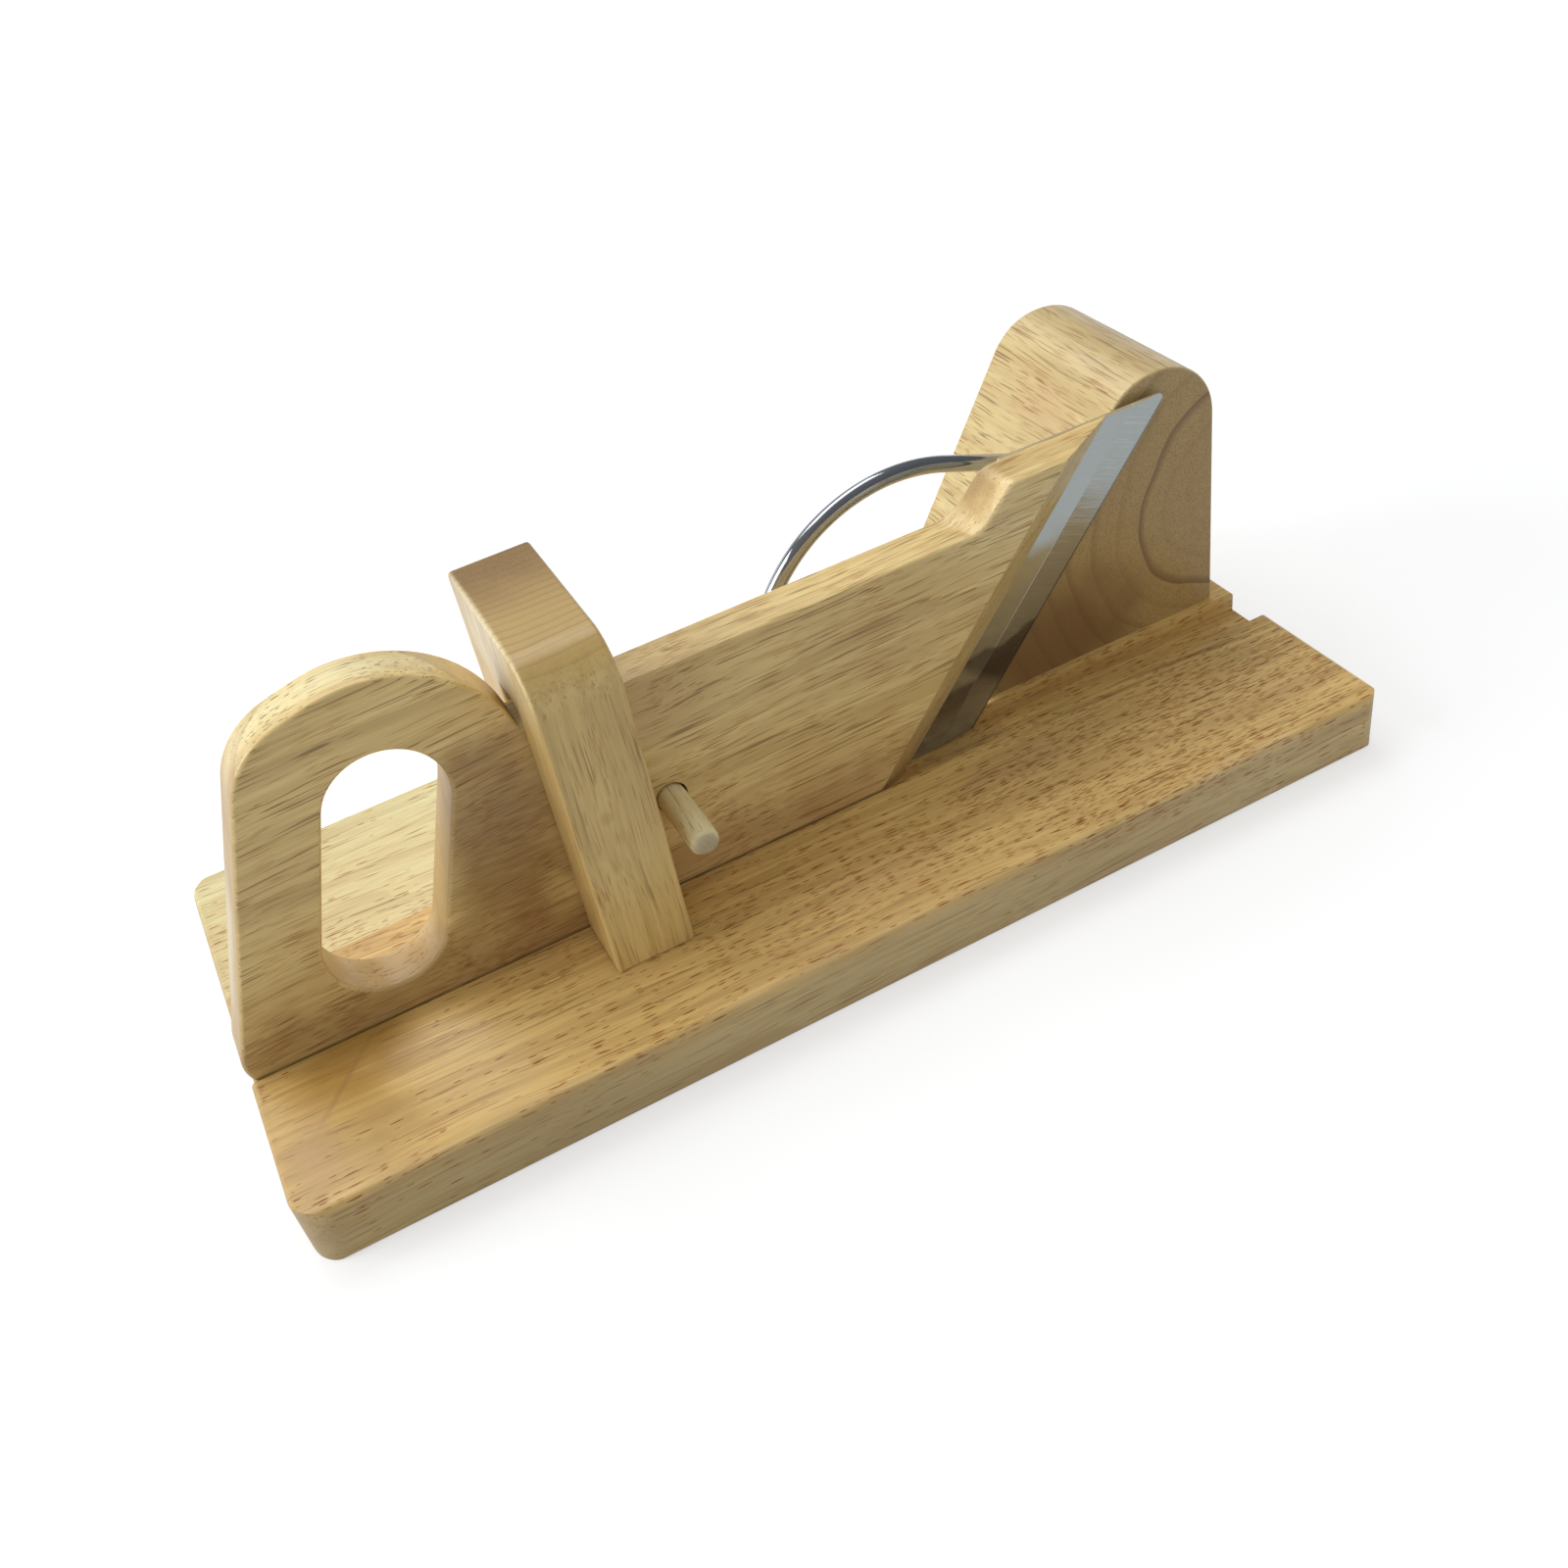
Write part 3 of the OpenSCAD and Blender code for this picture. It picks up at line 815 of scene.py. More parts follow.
@dataclass(frozen=True)
class BladeFinish:
    """Bright steel with a mirror flat, a ground bevel and a dark band at its foot, a painted reflection of the shaded
    groove.

    The grinding lines run square to the cutting edge.
    """

    name: str
    edge_foot: tuple[float, float]
    rake: float
    grind: float
    colour: Colour = (0.5, 0.54, 0.53)
    bright: Colour = (0.9, 0.93, 0.93)
    brushed: Colour = (0.34, 0.36, 0.35)
    # The sheared edge faces take a warm wood tone, a painted reflection of the wood around them.
    sheared: Colour = (0.85, 0.68, 0.42)
    # The dark band near the foot is a painted reflection of the shaded groove.
    painted_foot_reflection: Colour = (0.06, 0.05, 0.045)
    worn: Colour = (0.16, 0.14, 0.12)
    metallic: float = 0.92
    flat_roughness: float = 0.12
    ground_roughness: float = 0.2
    sheared_roughness: float = 0.35
    mark_strength: float = 0.35
    brush_strength: float = 0.22
    # Where the painted foot reflection reaches, how it rises, and how strong it is.
    foot_reflection_reach: tuple[float, float] = (29.0, 26.0)
    foot_reflection_rise: tuple[float, float] = (5.0, 10.0)
    foot_reflection_strength: float = 0.6
    worn_width: tuple[float, float] = (0.75, 0.25)
    worn_strength: float = 0.75
    mark_lines: tuple[float, float] = (0.35, 16.0)
    brush_lines: tuple[float, float] = (0.2, 40.0)
    facet_lines: tuple[float, float] = (2.2, 40.0)
    mark_relief: tuple[float, float] = (0.6, 0.00007)
    facet_relief: tuple[float, float] = (0.7, 0.00006)

    def material(self, shared: SharedPatterns) -> bpy.types.Material:
        """Builds the finish from the shared patterns."""
        material, graph, shader = fresh_material(self.name)
        where, place = graph.places()
        lean = math.radians(self.rake)
        from_edge = graph.vector("SUBTRACT", place, (self.edge_foot[0], 0.0, self.edge_foot[1]))
        inside = graph.vector("DOT_PRODUCT", from_edge, (-math.cos(lean), 0.0, math.sin(lean)))
        along = graph.vector("DOT_PRODUCT", from_edge, (math.sin(lean), 0.0, math.cos(lean)))
        ground = graph.fade(inside, self.grind + 0.1, self.grind - 0.1)
        slanted = graph.linear(inside, 0.25, along)
        square = graph.add("ShaderNodeCombineXYZ", {0: inside, 1: slanted, 2: 0.0}).outputs[0]
        marks, fine, facets = (
            graph.group(shared.scratches, {"Vector": lay, "Spacing": spacing, "Length": length}).outputs
            for lay, (spacing, length) in (
                (square, self.mark_lines),
                (place, self.brush_lines),
                (square, self.facet_lines),
            )
        )
        facing = graph.vector("DOT_PRODUCT", where.outputs["Normal"], (0.0, 1.0, 0.0))
        sheared = graph.fade(graph.math("ABSOLUTE", facing), 0.9, 0.6)
        # A dark band near the blade's foot with a ragged top: a painted reflection of the shaded groove.
        slope = graph.linear(fine["Smear"], 3.0, graph.linear(inside, 1.1, along))
        painted_foot_reflection = graph.product(graph.fade(slope, *self.foot_reflection_reach), graph.fade(along, *self.foot_reflection_rise))
        colour: Feed = self.colour
        for share, tint in (
            (graph.product(graph.fade(marks["Lines"], 0.5, 0.75), ground, self.mark_strength), self.bright),
            (graph.product(graph.fade(fine["Lines"], 0.45, 0.7), self.brush_strength), self.brushed),
            # The sheared edge faces: a painted reflection of the wooden block and board.
            (sheared, self.sheared),
            (graph.product(painted_foot_reflection, self.foot_reflection_strength), self.painted_foot_reflection),
            (graph.product(graph.fade(inside, *self.worn_width), self.worn_strength), self.worn),
        ):
            colour = graph.blend(share, colour, tint)
        gloss = graph.linear(ground, self.ground_roughness - self.flat_roughness, self.flat_roughness)
        gloss = graph.linear(graph.math("SUBTRACT", fine["Smear"], 0.5), 0.06, gloss)
        gloss = graph.linear(sheared, self.sheared_roughness, gloss)
        graph.wire(shader, {"Base Color": colour, "Metallic": self.metallic, "Roughness": gloss})
        lines = graph.product(marks["Lines"], graph.linear(ground, 0.95, 0.05))
        wave = graph.product(facets["Lines"], graph.linear(ground, 0.9, 0.1))
        hollow = graph.rough(shader, wave, *self.facet_relief)
        graph.rough(hollow, lines, *self.mark_relief)
        return material


@dataclass(frozen=True)
class MetalFinish:
    """A plated metal: chrome on the bow, and zinc on the screws."""

    name: str
    colour: Colour
    roughness: float
    haze: float
    scratch: float
    metallic: float = 1.0
    dull: float = 0.82
    smear_strength: float = 0.4
    lines: tuple[float, float] = (0.5, 6.0)
    relief: float = 0.00002

    def material(self, shared: SharedPatterns) -> bpy.types.Material:
        """Builds the finish from the shared patterns."""
        material, graph, shader = fresh_material(self.name)
        feeds = {"Vector": graph.places()[1], "Spacing": self.lines[0], "Length": self.lines[1]}
        wear = graph.group(shared.scratches, feeds).outputs
        dull = tuple(self.dull * c for c in self.colour)
        colour = graph.blend(graph.product(wear["Smear"], self.smear_strength), self.colour, dull)
        gloss = graph.linear(wear["Smear"], self.haze, self.roughness)
        graph.wire(shader, {"Base Color": colour, "Metallic": self.metallic, "Roughness": gloss})
        graph.rough(shader, wear["Lines"], self.scratch, self.relief)
        return material


CHROME = MetalFinish("chrome plate", (0.48, 0.5, 0.54), roughness=0.08, haze=0.03, scratch=0.03, metallic=0.8)
ZINC = MetalFinish("bright zinc", (0.66, 0.66, 0.62), roughness=0.3, haze=0.12, scratch=0.6)


# Pieces


@dataclass
class Workshop:
    """What every sub-assembly needs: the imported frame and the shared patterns."""

    nodes: dict[str, bpy.types.Object]
    shared: SharedPatterns

    def dress(self, node: str, material: bpy.types.Material) -> None:
        """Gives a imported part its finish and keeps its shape."""
        slots = self.nodes[node].data.materials
        slots.clear()
        slots.append(material)
        LOG.info("%s keeps its packed shape, in %s", node, material.name)

    def stand_in(self, name: str, shell: Shell, material: bpy.types.Material, body: str, node: str) -> None:
        """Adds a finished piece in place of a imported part.

        Args:
            name: The piece's name.
            shell: Its surface.
            material: Its finish.
            body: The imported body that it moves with.
            node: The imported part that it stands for.
        """
        piece = added(name, shell.to_mesh(name))
        piece.data.materials.append(material)
        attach(piece, body)
        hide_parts(node)
        LOG.info("%s stands for %s, with %d faces", name, node, len(piece.data.polygons))


@dataclass
class Base:
    """The base with its end block, its bow and the block's screws."""

    thickness: float = 17.0
    block_foot: float = 62.0
    block_right: float = 136.0
    block_front: float = -2.7
    block_back: float = 48.8
    block_top: float = 91.5
    block_rake: float = 32.0
    block_left_radius: float = 16.0
    block_right_radius: float = 17.5
    block_ease: float = 0.9
    foot_ease: float = 0.15
    toe_trim: float = 0.7
    toe_rise: float = 0.6
    heel_trim: float = 0.5
    wire_radius: float = 2.2
    bow_radius: float = 45.2
    bow_centre: tuple[float, float] = (56.0, 31.0)
    bow_fall: float = 20.0
    bow_base_depth: float = 10.0
    bow_block_depth: float = 12.0
    bow_steps: int = 150
    leg_steps: int = 14
    wire_sides: int = 48
    base_finish: TimberFinish = TimberFinish(
        name="base timber",
        grain=Grain.ALONG_X,
        pale=(0.94, 0.67, 0.24),
        dark=(0.6, 0.37, 0.115),
        streak=2.2,
        pore=(0.23, 0.075, 0.008),
        cloud=(0.66, 0.42, 0.15),
        ring=(0.36, 0.19, 0.065),
        pith=(0.0, -140.0, -75.0),
        ring_gap=11.0,
        ring_warp=26.0,
        ring_strength=0.6,
        coat=0.32,
        thread_strength=0.75,
        coarse=Pores(6.5, 0.62, 0.4, 1.0),
        fine=Pores(3.4, 0.48, 0.38, 0.95),
        patches=(
            Patch((-119.0, -21.0, 17.0), (21.0, 21.0, 16.0), (0.41, 0.205, 0.025), 0.75, 1.0, -0.5),
            Patch((-132.0, -34.0, 17.0), (28.0, 26.0, 16.0), (0.5, 0.28, 0.04), 0.35, 1.6, -0.3),
            Patch((-130.0, -51.0, 17.0), (27.0, 15.0, 16.0), (0.4, 0.245, 0.085), 0.5, 1.2),
            Patch((-98.0, -42.0, 17.0), (62.0, 30.0, 12.0), (0.41, 0.21, 0.025), 0.0, 0.6, -0.26),
            Patch((-122.5, -29.5, 17.0), (1.1, 23.0, 12.0), (0.33, 0.17, 0.055), 0.4, 1.2, 0.0, -41.0),
            Patch((-133.0, -44.0, 17.0), (9.0, 14.0, 12.0), (0.62, 0.39, 0.18), 0.5, 1.4),
            Patch((-140.5, -60.0, 5.0), (11.0, 12.0, 14.0), (0.46, 0.33, 0.14), 0.8, 0.2, -0.3),
            Patch((-74.0, -38.0, 17.0), (40.0, 19.0, 14.0), (0.92, 0.66, 0.25), 0.5, 0.9),
            Patch((60.0, -30.0, 17.0), (28.0, 10.0, 14.0), (0.6, 0.37, 0.17), 0.6, 0.7, 0.3),
            Patch((90.0, -42.0, 17.0), (84.0, 30.0, 14.0), (0.89, 0.62, 0.25), 0.6, 0.6, 0.9),
            Patch((6.0, -46.0, 17.0), (26.0, 12.0, 12.0), (0.66, 0.42, 0.19), 0.4, 0.8),
            # Painted shade: two thin dark lines along the groove's front edge in front of the blade, for the shaded
            # gap.
            Patch((113.5, -20.5, 17.0), (31.0, 1.3, 6.0), (0.31, 0.15, 0.04), 0.7, 0.6, 0.0, -5.8),
            Patch((92.0, -21.5, 17.0), (36.0, 0.9, 6.0), (0.3, 0.16, 0.06), 0.6, 0.6, 0.0, -3.0),
            Patch((0.0, -62.0, 6.0), (190.0, 4.0, 18.0), (0.67, 0.53, 0.27), 0.75, 0.3, -0.4),
            Patch((-95.0, -62.0, 7.0), (70.0, 4.0, 18.0), (0.5, 0.38, 0.18), 0.55, 0.3),
            Patch((105.0, -62.0, 7.0), (55.0, 4.0, 18.0), (0.82, 0.65, 0.36), 0.5, 0.3),
            Patch((-142.5, 0.0, 7.0), (4.0, 90.0, 18.0), (0.4, 0.29, 0.12), 0.5, 0.3),
            Patch((0.0, 42.0, 17.0), (220.0, 36.0, 14.0), (0.78, 0.69, 0.36), 0.0, 0.3, -0.5),
        ),
        stave=Stave(12.8, (0.86, 0.8, 0.44), (0.77, 0.67, 0.33)),
    )
    block_finish: TimberFinish = TimberFinish(
        name="block timber",
        grain=Grain.ALONG_Y,
        pale=(0.82, 0.67, 0.33),
        dark=(0.66, 0.49, 0.21),
        cloud=(0.68, 0.48, 0.2),
        cloud_strength=0.25,
        ring_side=0.15,
        stripe_strength=0.3,
        end=(0.45, 0.28, 0.085),
        ring=(0.16, 0.065, 0.018),
        pith=(143.0, 0.0, 51.0),
        tilt=(0.0, 0.0, 0.0),
        ring_gap=7.6,
        ring_warp=5.0,
        ring_strength=0.85,
        ring_clear=29.0,
        end_pores=0.5,
        end_speck=0.5,
        coarse=Pores(21.0, 0.38, 0.6, 0.95),
        fine=Pores(8.0, 0.3, 0.5, 0.65),
        patches=(
            # Low on the left of the block's front: partly the end grain's darker brown, partly a painted shadow of the
            # board and blade.
            Patch((86.0, -2.7, 24.0), (38.0, 5.0, 30.0), (0.23, 0.115, 0.038), 0.9, 0.7),
            Patch((98.0, 20.0, 80.0), (16.0, 16.0, 10.0), (0.66, 0.42, 0.2), 0.5, 0.8),
            Patch((118.0, 15.0, 91.5), (30.0, 50.0, 12.0), (0.56, 0.41, 0.19), 0.5, 0.5),
        ),
    )

    def _block(self) -> Shell:
        """The end block: an outline in X and Z, with a leaning left side and two bends on top, as deep as it is."""
        rake = math.radians(self.block_rake)
        foot, low = self.block_foot, self.thickness
        left_z = self.block_top - self.block_left_radius
        left_x = foot + math.tan(rake) * (left_z - low) + self.block_left_radius / math.cos(rake)
        right = (self.block_right - self.block_right_radius, self.block_top - self.block_right_radius)
        outline = np.concatenate(
            [
                [[foot + self.toe_trim, low], [self.block_right - self.heel_trim, low]],
                [[self.block_right, low + self.heel_trim]],
                arc(right, self.block_right_radius, 0, 90, 28),
                arc((left_x, left_z), self.block_left_radius, 90, 180 - self.block_rake, 20),
                [[foot + math.tan(rake) * self.toe_rise, low + self.toe_rise]],
            ]
        )
        ease = np.full(len(outline), self.block_ease)
        ease[[0, 1, 2, -1]] = self.foot_ease
        return board_shell([Rim(outline, outline, ease)], self.block_front, self.block_back, (0, 2, 1))

    def _bow(self) -> Shell:
        """The bow: a straight leg out of the base, a bend of one radius, and a straight leg into the block.

        The middle of the rod is centre + radius * (cos t, sin t) from t = 180 degrees to 90 less the right leg's fall.
        The leg then runs straight on, through the leaning face and into the block.
        """
        end = 90 - self.bow_fall
        low = self.thickness - self.bow_base_depth
        bend = arc(self.bow_centre, self.bow_radius, 180, end, self.bow_steps)
        turn = math.radians(end)
        ahead = np.array([math.sin(turn), -math.cos(turn)])
        rake = math.radians(self.block_rake)
        foot = np.array([self.block_foot, self.thickness])
        gap = float((foot - bend[-1]) @ np.array([math.cos(rake), -math.sin(rake)]))
        reach = gap / math.cos(rake - math.radians(self.bow_fall)) + self.bow_block_depth
        leg = np.linspace(0, 1, self.leg_steps + 1)[:, None]
        left = (bend[0] - [0, bend[0, 1] - low] * (1 - leg))[:-1]
        right = bend[-1] + reach * leg[1:] * ahead
        flat = np.concatenate([left, bend, right])
        middle = (self.block_front + self.block_back) / 2
        path = np.stack([flat[:, 0], np.full(len(flat), middle), flat[:, 1]], axis=1)
        along = np.gradient(path, axis=0)
        along /= np.linalg.norm(along, axis=1, keepdims=True)
        aside = np.broadcast_to([0.0, 1.0, 0.0], path.shape)
        return tube_shell(path, np.cross(along, aside), aside, self.wire_radius, self.wire_sides)

    def build(self, shop: Workshop) -> None:
        """Makes and dresses the base's pieces."""
        shop.dress("base_board", self.base_finish.material(shop.shared))
        block = self.block_finish.material(shop.shared)
        shop.stand_in("end_block_eased", self._block(), block, "base", "end_block")
        chrome = CHROME.material(shop.shared)
        shop.stand_in("wire_bow_bright", self._bow(), chrome, "base", "wire_bow")
        zinc = ZINC.material(shop.shared)
        shop.dress("block_screw_left", zinc)
        shop.dress("block_screw_right", zinc)


@dataclass
class Knife:
    """The knife board with its blade, its screws and its saddle, and the peg through it."""

    groove_floor: float = 11.0
    base_top: float = 17.0
    front: float = -17.8
    thickness: float = 12.0
    level_top: float = 78.2
    nose_top: float = 87.6
    nose_length: float = 34.0
    step_slope: float = 47.0
    step_radius: tuple[float, float] = (4.0, 7.0)
    foot_radius: tuple[float, float] = (5.5, 13.0)
    edge_foot: float = 61.5
    edge_rake: float = 40.2
    blade_show: float = 14.8
    grind: float = 8.8
    bevel: float = 15.4
    rake: float = 19.5
    crown: tuple[float, float] = (-90.78, 71.4)
    crown_radius: float = 32.5
    shoulder_height: float = 81.5
    shoulder_radius: float = 20.5
    heel: tuple[float, float] = (-132.2, 21.0)
    heel_radius: float = 10.0
    grip_radius: float = 13.8
    grip_length: float = 35.3
    grip_rise: float = 1.3
    grip_ease: float = 1.0
    ease: float = 1.0
    end_ease: float = 0.35
    nose_ease: float = 0.5
    foot_trim: float = 0.5
    nose_trim: float = 0.6
    peg_hole: tuple[float, float] = (-30.8, 43.3)
    peg_hole_radius: float = 4.0
    peg_hole_ease: float = 0.25
    peg_radius: float = 3.6
    peg_bend: float = 2.4
    peg_length: float = 31.3
    peg_worn: float = 7.0
    peg_back: float = -6.5
    peg_drop: float = 0.35
    peg_lump: float = 0.035
    peg_waves: tuple[float, float] = (0.8, 0.7)
    saddle_left: float = -58.5
    saddle_width: float = 19.6
    saddle_front: float = -36.5
    saddle_back: float = 16.0
    saddle_top: float = 101.0
    saddle_head: float = 18.0
    saddle_gap: float = 0.3
    saddle_front_radius: float = 12.0
    saddle_back_radius: float = 1.5
    saddle_foot_radius: float = 0.5
    saddle_slot_radius: float = 0.4
    saddle_ceiling_radius: float = 0.6
    saddle_ease: float = 0.9
    board_finish: TimberFinish = TimberFinish(
        name="knife board timber",
        grain=Grain.ALONG_X,
        pale=(0.99, 0.77, 0.335),
        dark=(0.73, 0.51, 0.19),
        end=(0.5, 0.31, 0.115),
        ring=(0.3, 0.16, 0.045),
        pore=(0.24, 0.1, 0.015),
        pith=(0.0, 95.0, -60.0),
        tilt=(0.0, 2.0, -1.0),
        ring_gap=12.0,
        ring_strength=0.6,
        streak=2.4,
        stripe_strength=0.2,
        thread_strength=0.82,
        coarse=Pores(24.0, 0.32, 0.45, 0.92),
        fine=Pores(9.0, 0.26, 0.42, 0.62),
        patches=(
            # The handle's front between the hole and the saddle and low down: partly browner wood, partly painted
            # shade.
            Patch((-70.0, -17.8, 50.0), (24.0, 11.0, 42.0), (0.28, 0.155, 0.048), 0.88, 0.8, 0.5),
            Patch((-98.0, -17.8, 20.0), (70.0, 11.0, 20.0), (0.32, 0.17, 0.055), 0.75, 0.8, 0.45),
            Patch((-10.0, -17.8, 20.0), (84.0, 11.0, 18.0), (0.53, 0.3, 0.125), 0.6, 0.8, 0.2),
            Patch((-102.6, -10.0, 27.0), (18.0, 8.0, 8.0), (0.5, 0.31, 0.12), 0.8, 0.3),
            Patch((-26.0, -17.8, 70.0), (26.0, 4.0, 11.0), (0.6, 0.41, 0.17), 0.6, 0.6),
            Patch((66.0, -17.8, 80.0), (34.0, 5.0, 16.0), (1.0, 0.82, 0.42), 0.6, 0.6),
            # Painted sheen: the crown's top and the handle's left edge are paler and greyer, as a highlight.
            Patch((-100.0, -11.0, 108.0), (52.0, 6.5, 30.0), (0.96, 0.86, 0.49), 0.85, 0.4, -0.5),
            Patch((-134.0, -9.0, 60.0), (12.0, 7.0, 60.0), (0.95, 0.88, 0.62), 0.6, 0.3, -0.3),
            Patch((-98.0, -9.5, 110.0), (50.0, 9.0, 26.0), (0.95, 0.88, 0.62), 0.0, 0.2, -0.5),
            # Painted shade: the board is darkened where it goes into the saddle's slot.
            Patch((-60.0, -11.0, 80.5), (4.5, 9.0, 5.5), (0.14, 0.065, 0.02), 0.8, 0.3),
            # A thin dark band along the board's foot: a painted contact shadow where it meets the base, with a little
            # dirt.
            Patch((-40.0, -17.8, 17.0), (500.0, 5.0, 1.0), (0.1, 0.045, 0.012), 0.8, 0.35),
            Patch((62.0, -7.5, 84.0), (13.0, 8.5, 10.0), (0.4, 0.24, 0.09), 0.85, 1.2),
            Patch((62.0, -17.0, 83.0), (13.0, 4.0, 9.0), (0.9, 0.7, 0.36), 0.6, 0.6),
        ),
    )
    saddle_finish: TimberFinish = TimberFinish(
        name="saddle timber",
        grain=Grain.ALONG_Z,
        pale=(0.88, 0.65, 0.25),
        dark=(0.68, 0.46, 0.155),
        end=(0.45, 0.285, 0.075),
        ring=(0.11, 0.045, 0.01),
        pore=(0.24, 0.11, 0.02),
        pith=(-45.0, 75.0, 0.0),
        tilt=(0.5, 0.0, 1.0),
        ring_gap=2.6,
        ring_warp=3.5,
        ring_strength=0.9,
        ring_side=0.2,
        stripe_strength=0.28,
        end_strength=0.85,
        end_pores=0.0,
        thread_strength=0.35,
        coarse=Pores(19.0, 0.4, 0.4, 0.6),
        fine=Pores(9.0, 0.3, 0.5, 0.5),
        patches=(
            Patch((-48.7, 19.0, 101.0), (46.0, 36.0, 16.0), (0.21, 0.098, 0.016), 0.9, 0.35),
            # Painted sheen: the top of the saddle's left face is paler and greyer, as a highlight.
            Patch((-58.5, -6.0, 95.0), (1.6, 40.0, 19.0), (0.92, 0.82, 0.56), 0.9, 0.3),
            # Painted shade: the slot's opening on the saddle's left face is darkened.
            Patch((-57.0, -12.0, 78.5), (10.0, 8.0, 7.5), (0.09, 0.045, 0.015), 0.9, 0.2),
            Patch((-50.5, -36.5, 61.0), (2.0, 3.0, 2.4), (0.5, 0.33, 0.13), 0.45, 1.4),
        ),
    )
    peg_finish: TimberFinish = TimberFinish(
        name="peg timber",
        grain=Grain.ALONG_Y,
        pale=(1.0, 0.98, 0.62),
        dark=(0.98, 0.85, 0.48),
        end=(0.42, 0.34, 0.21),
        pith=(-30.0, 0.0, 30.0),
        ring_gap=3.0,
        ring_warp=3.0,
        coarse=Pores(8.0, 0.5, 0.3, 0.6),
        fine=Pores(4.0, 0.4, 0.3, 0.4),
        patches=(Patch((-30.8, -39.0, 42.0), (5.0, 6.0, 5.0), (0.46, 0.39, 0.26), 0.9, 0.9),),
        roughness=0.55,
        coat=0.0,
    )

    def _end_x(self, z: float) -> float:
        """Where the board's leaning end is at a height, on its back face."""
        lean = math.radians(self.edge_rake)
        return self.edge_foot + math.tan(lean) * (z - self.base_top) - self.blade_show / math.cos(lean)

    def _board(self) -> Shell:
        """The knife board: an outline of arcs and straight lines in X and Z, with the hand hole and the peg's hole.

        The outline's leaning end lies further left on the front face than on the back face by the bevel, the bends
        of its step are wider at the back, and the board's side is ruled straight between the two.
        """
        lean = math.radians(self.edge_rake)
        shift = self.bevel / math.cos(lean)
        slope = math.radians(self.step_slope)
        nose_x = self._end_x(self.nose_top) - self.nose_length
        crown, crown_r = np.array(self.crown), self.crown_radius
        foot_angle = math.degrees(math.asin((self.level_top - crown[1]) / crown_r))
        rake = math.radians(self.rake)
        lean_x = self.heel[0] - self.heel_radius / math.cos(rake)
        lean_x += math.tan(rake) * (self.shoulder_height - self.heel[1])
        shoulder = np.array([lean_x + self.shoulder_radius / math.cos(rake), self.shoulder_height])
        gap = crown - shoulder
        bend = math.acos((self.shoulder_radius - crown_r) / np.linalg.norm(gap))
        top_angle = math.degrees(math.atan2(gap[1], gap[0]) + bend)

        def outline(moved: float, foot: float, top: float) -> np.ndarray:
            """The board's outline with its leaning end moved left, and the radii at the foot and top of its step."""
            low, high = self._end_x(self.groove_floor) - moved, self._end_x(self.nose_top) - moved
            end = np.array([math.sin(lean), math.cos(lean)])
            foot_end = np.array([low, self.groove_floor]) + self.foot_trim * end
            nose_end = np.array([high, self.nose_top]) - self.nose_trim * end
            bends = top + foot
            line = (self.nose_top - self.level_top - bends * (1 - math.cos(slope))) / math.sin(slope)
            run = bends * math.sin(slope) + line * math.cos(slope)
            return np.concatenate(
                [
                    [foot_end, nose_end, [high - self.nose_trim, self.nose_top]],
                    arc((nose_x, self.nose_top - top), top, 90, 90 + self.step_slope, 10),
                    arc((nose_x - run, self.level_top + foot), foot, self.step_slope - 90, -90, 10),
                    arc(crown, crown_r, foot_angle, top_angle, 40),
                    arc(shoulder, self.shoulder_radius, top_angle, 180 - self.rake, 20)[1:],
                    arc(self.heel, self.heel_radius, 180 - self.rake, 270, 16),
                    [[low - self.foot_trim, self.groove_floor]],
                ]
            )

        near = outline(shift, self.foot_radius[0], self.step_radius[0])
        far = outline(0.0, self.foot_radius[1], self.step_radius[1])
        ease = np.full(len(near), self.ease)
        ease[[0, 1, -1]] = self.end_ease
        ease[2] = self.nose_ease
        high = crown + [0, self.grip_rise]
        low = high - self.grip_length * np.array([math.sin(rake), math.cos(rake)])
        hole = np.concatenate(
            [
                arc(high, self.grip_radius, -self.rake, 180 - self.rake, 32),
                arc(low, self.grip_radius, 180 - self.rake, 360 - self.rake, 32),
            ]
        )[::-1]
        peg = arc(self.peg_hole, self.peg_hole_radius, 360, 0, 48)[:-1]
        rims = [Rim(near, far, ease), Rim(hole, hole, self.grip_ease), Rim(peg, peg, self.peg_hole_ease)]
        return board_shell(rims, self.front, self.front + self.thickness, (0, 2, 1), 5)

    def _saddle(self) -> Shell:
        """The saddle: an upside-down U in Y and Z, as wide along X as the real one."""
        slot_front = self.front - self.saddle_gap
        slot_back = self.front + self.thickness + self.saddle_gap
        ceiling = self.saddle_top - self.saddle_head
        outline = rounded(
            [
                (self.saddle_front, self.base_top, self.saddle_foot_radius),
                (slot_front, self.base_top, self.saddle_slot_radius),
                (slot_front, ceiling, self.saddle_ceiling_radius),
                (slot_back, ceiling, self.saddle_ceiling_radius),
                (slot_back, self.base_top, self.saddle_slot_radius),
                (self.saddle_back, self.base_top, self.saddle_foot_radius),
                (self.saddle_back, self.saddle_top, self.saddle_back_radius),
                (self.saddle_front, self.saddle_top, self.saddle_front_radius),
            ],
            16,
        )
        right = self.saddle_left + self.saddle_width
        return board_shell([Rim(outline, outline, self.saddle_ease)], self.saddle_left, right, (1, 2, 0), 5)

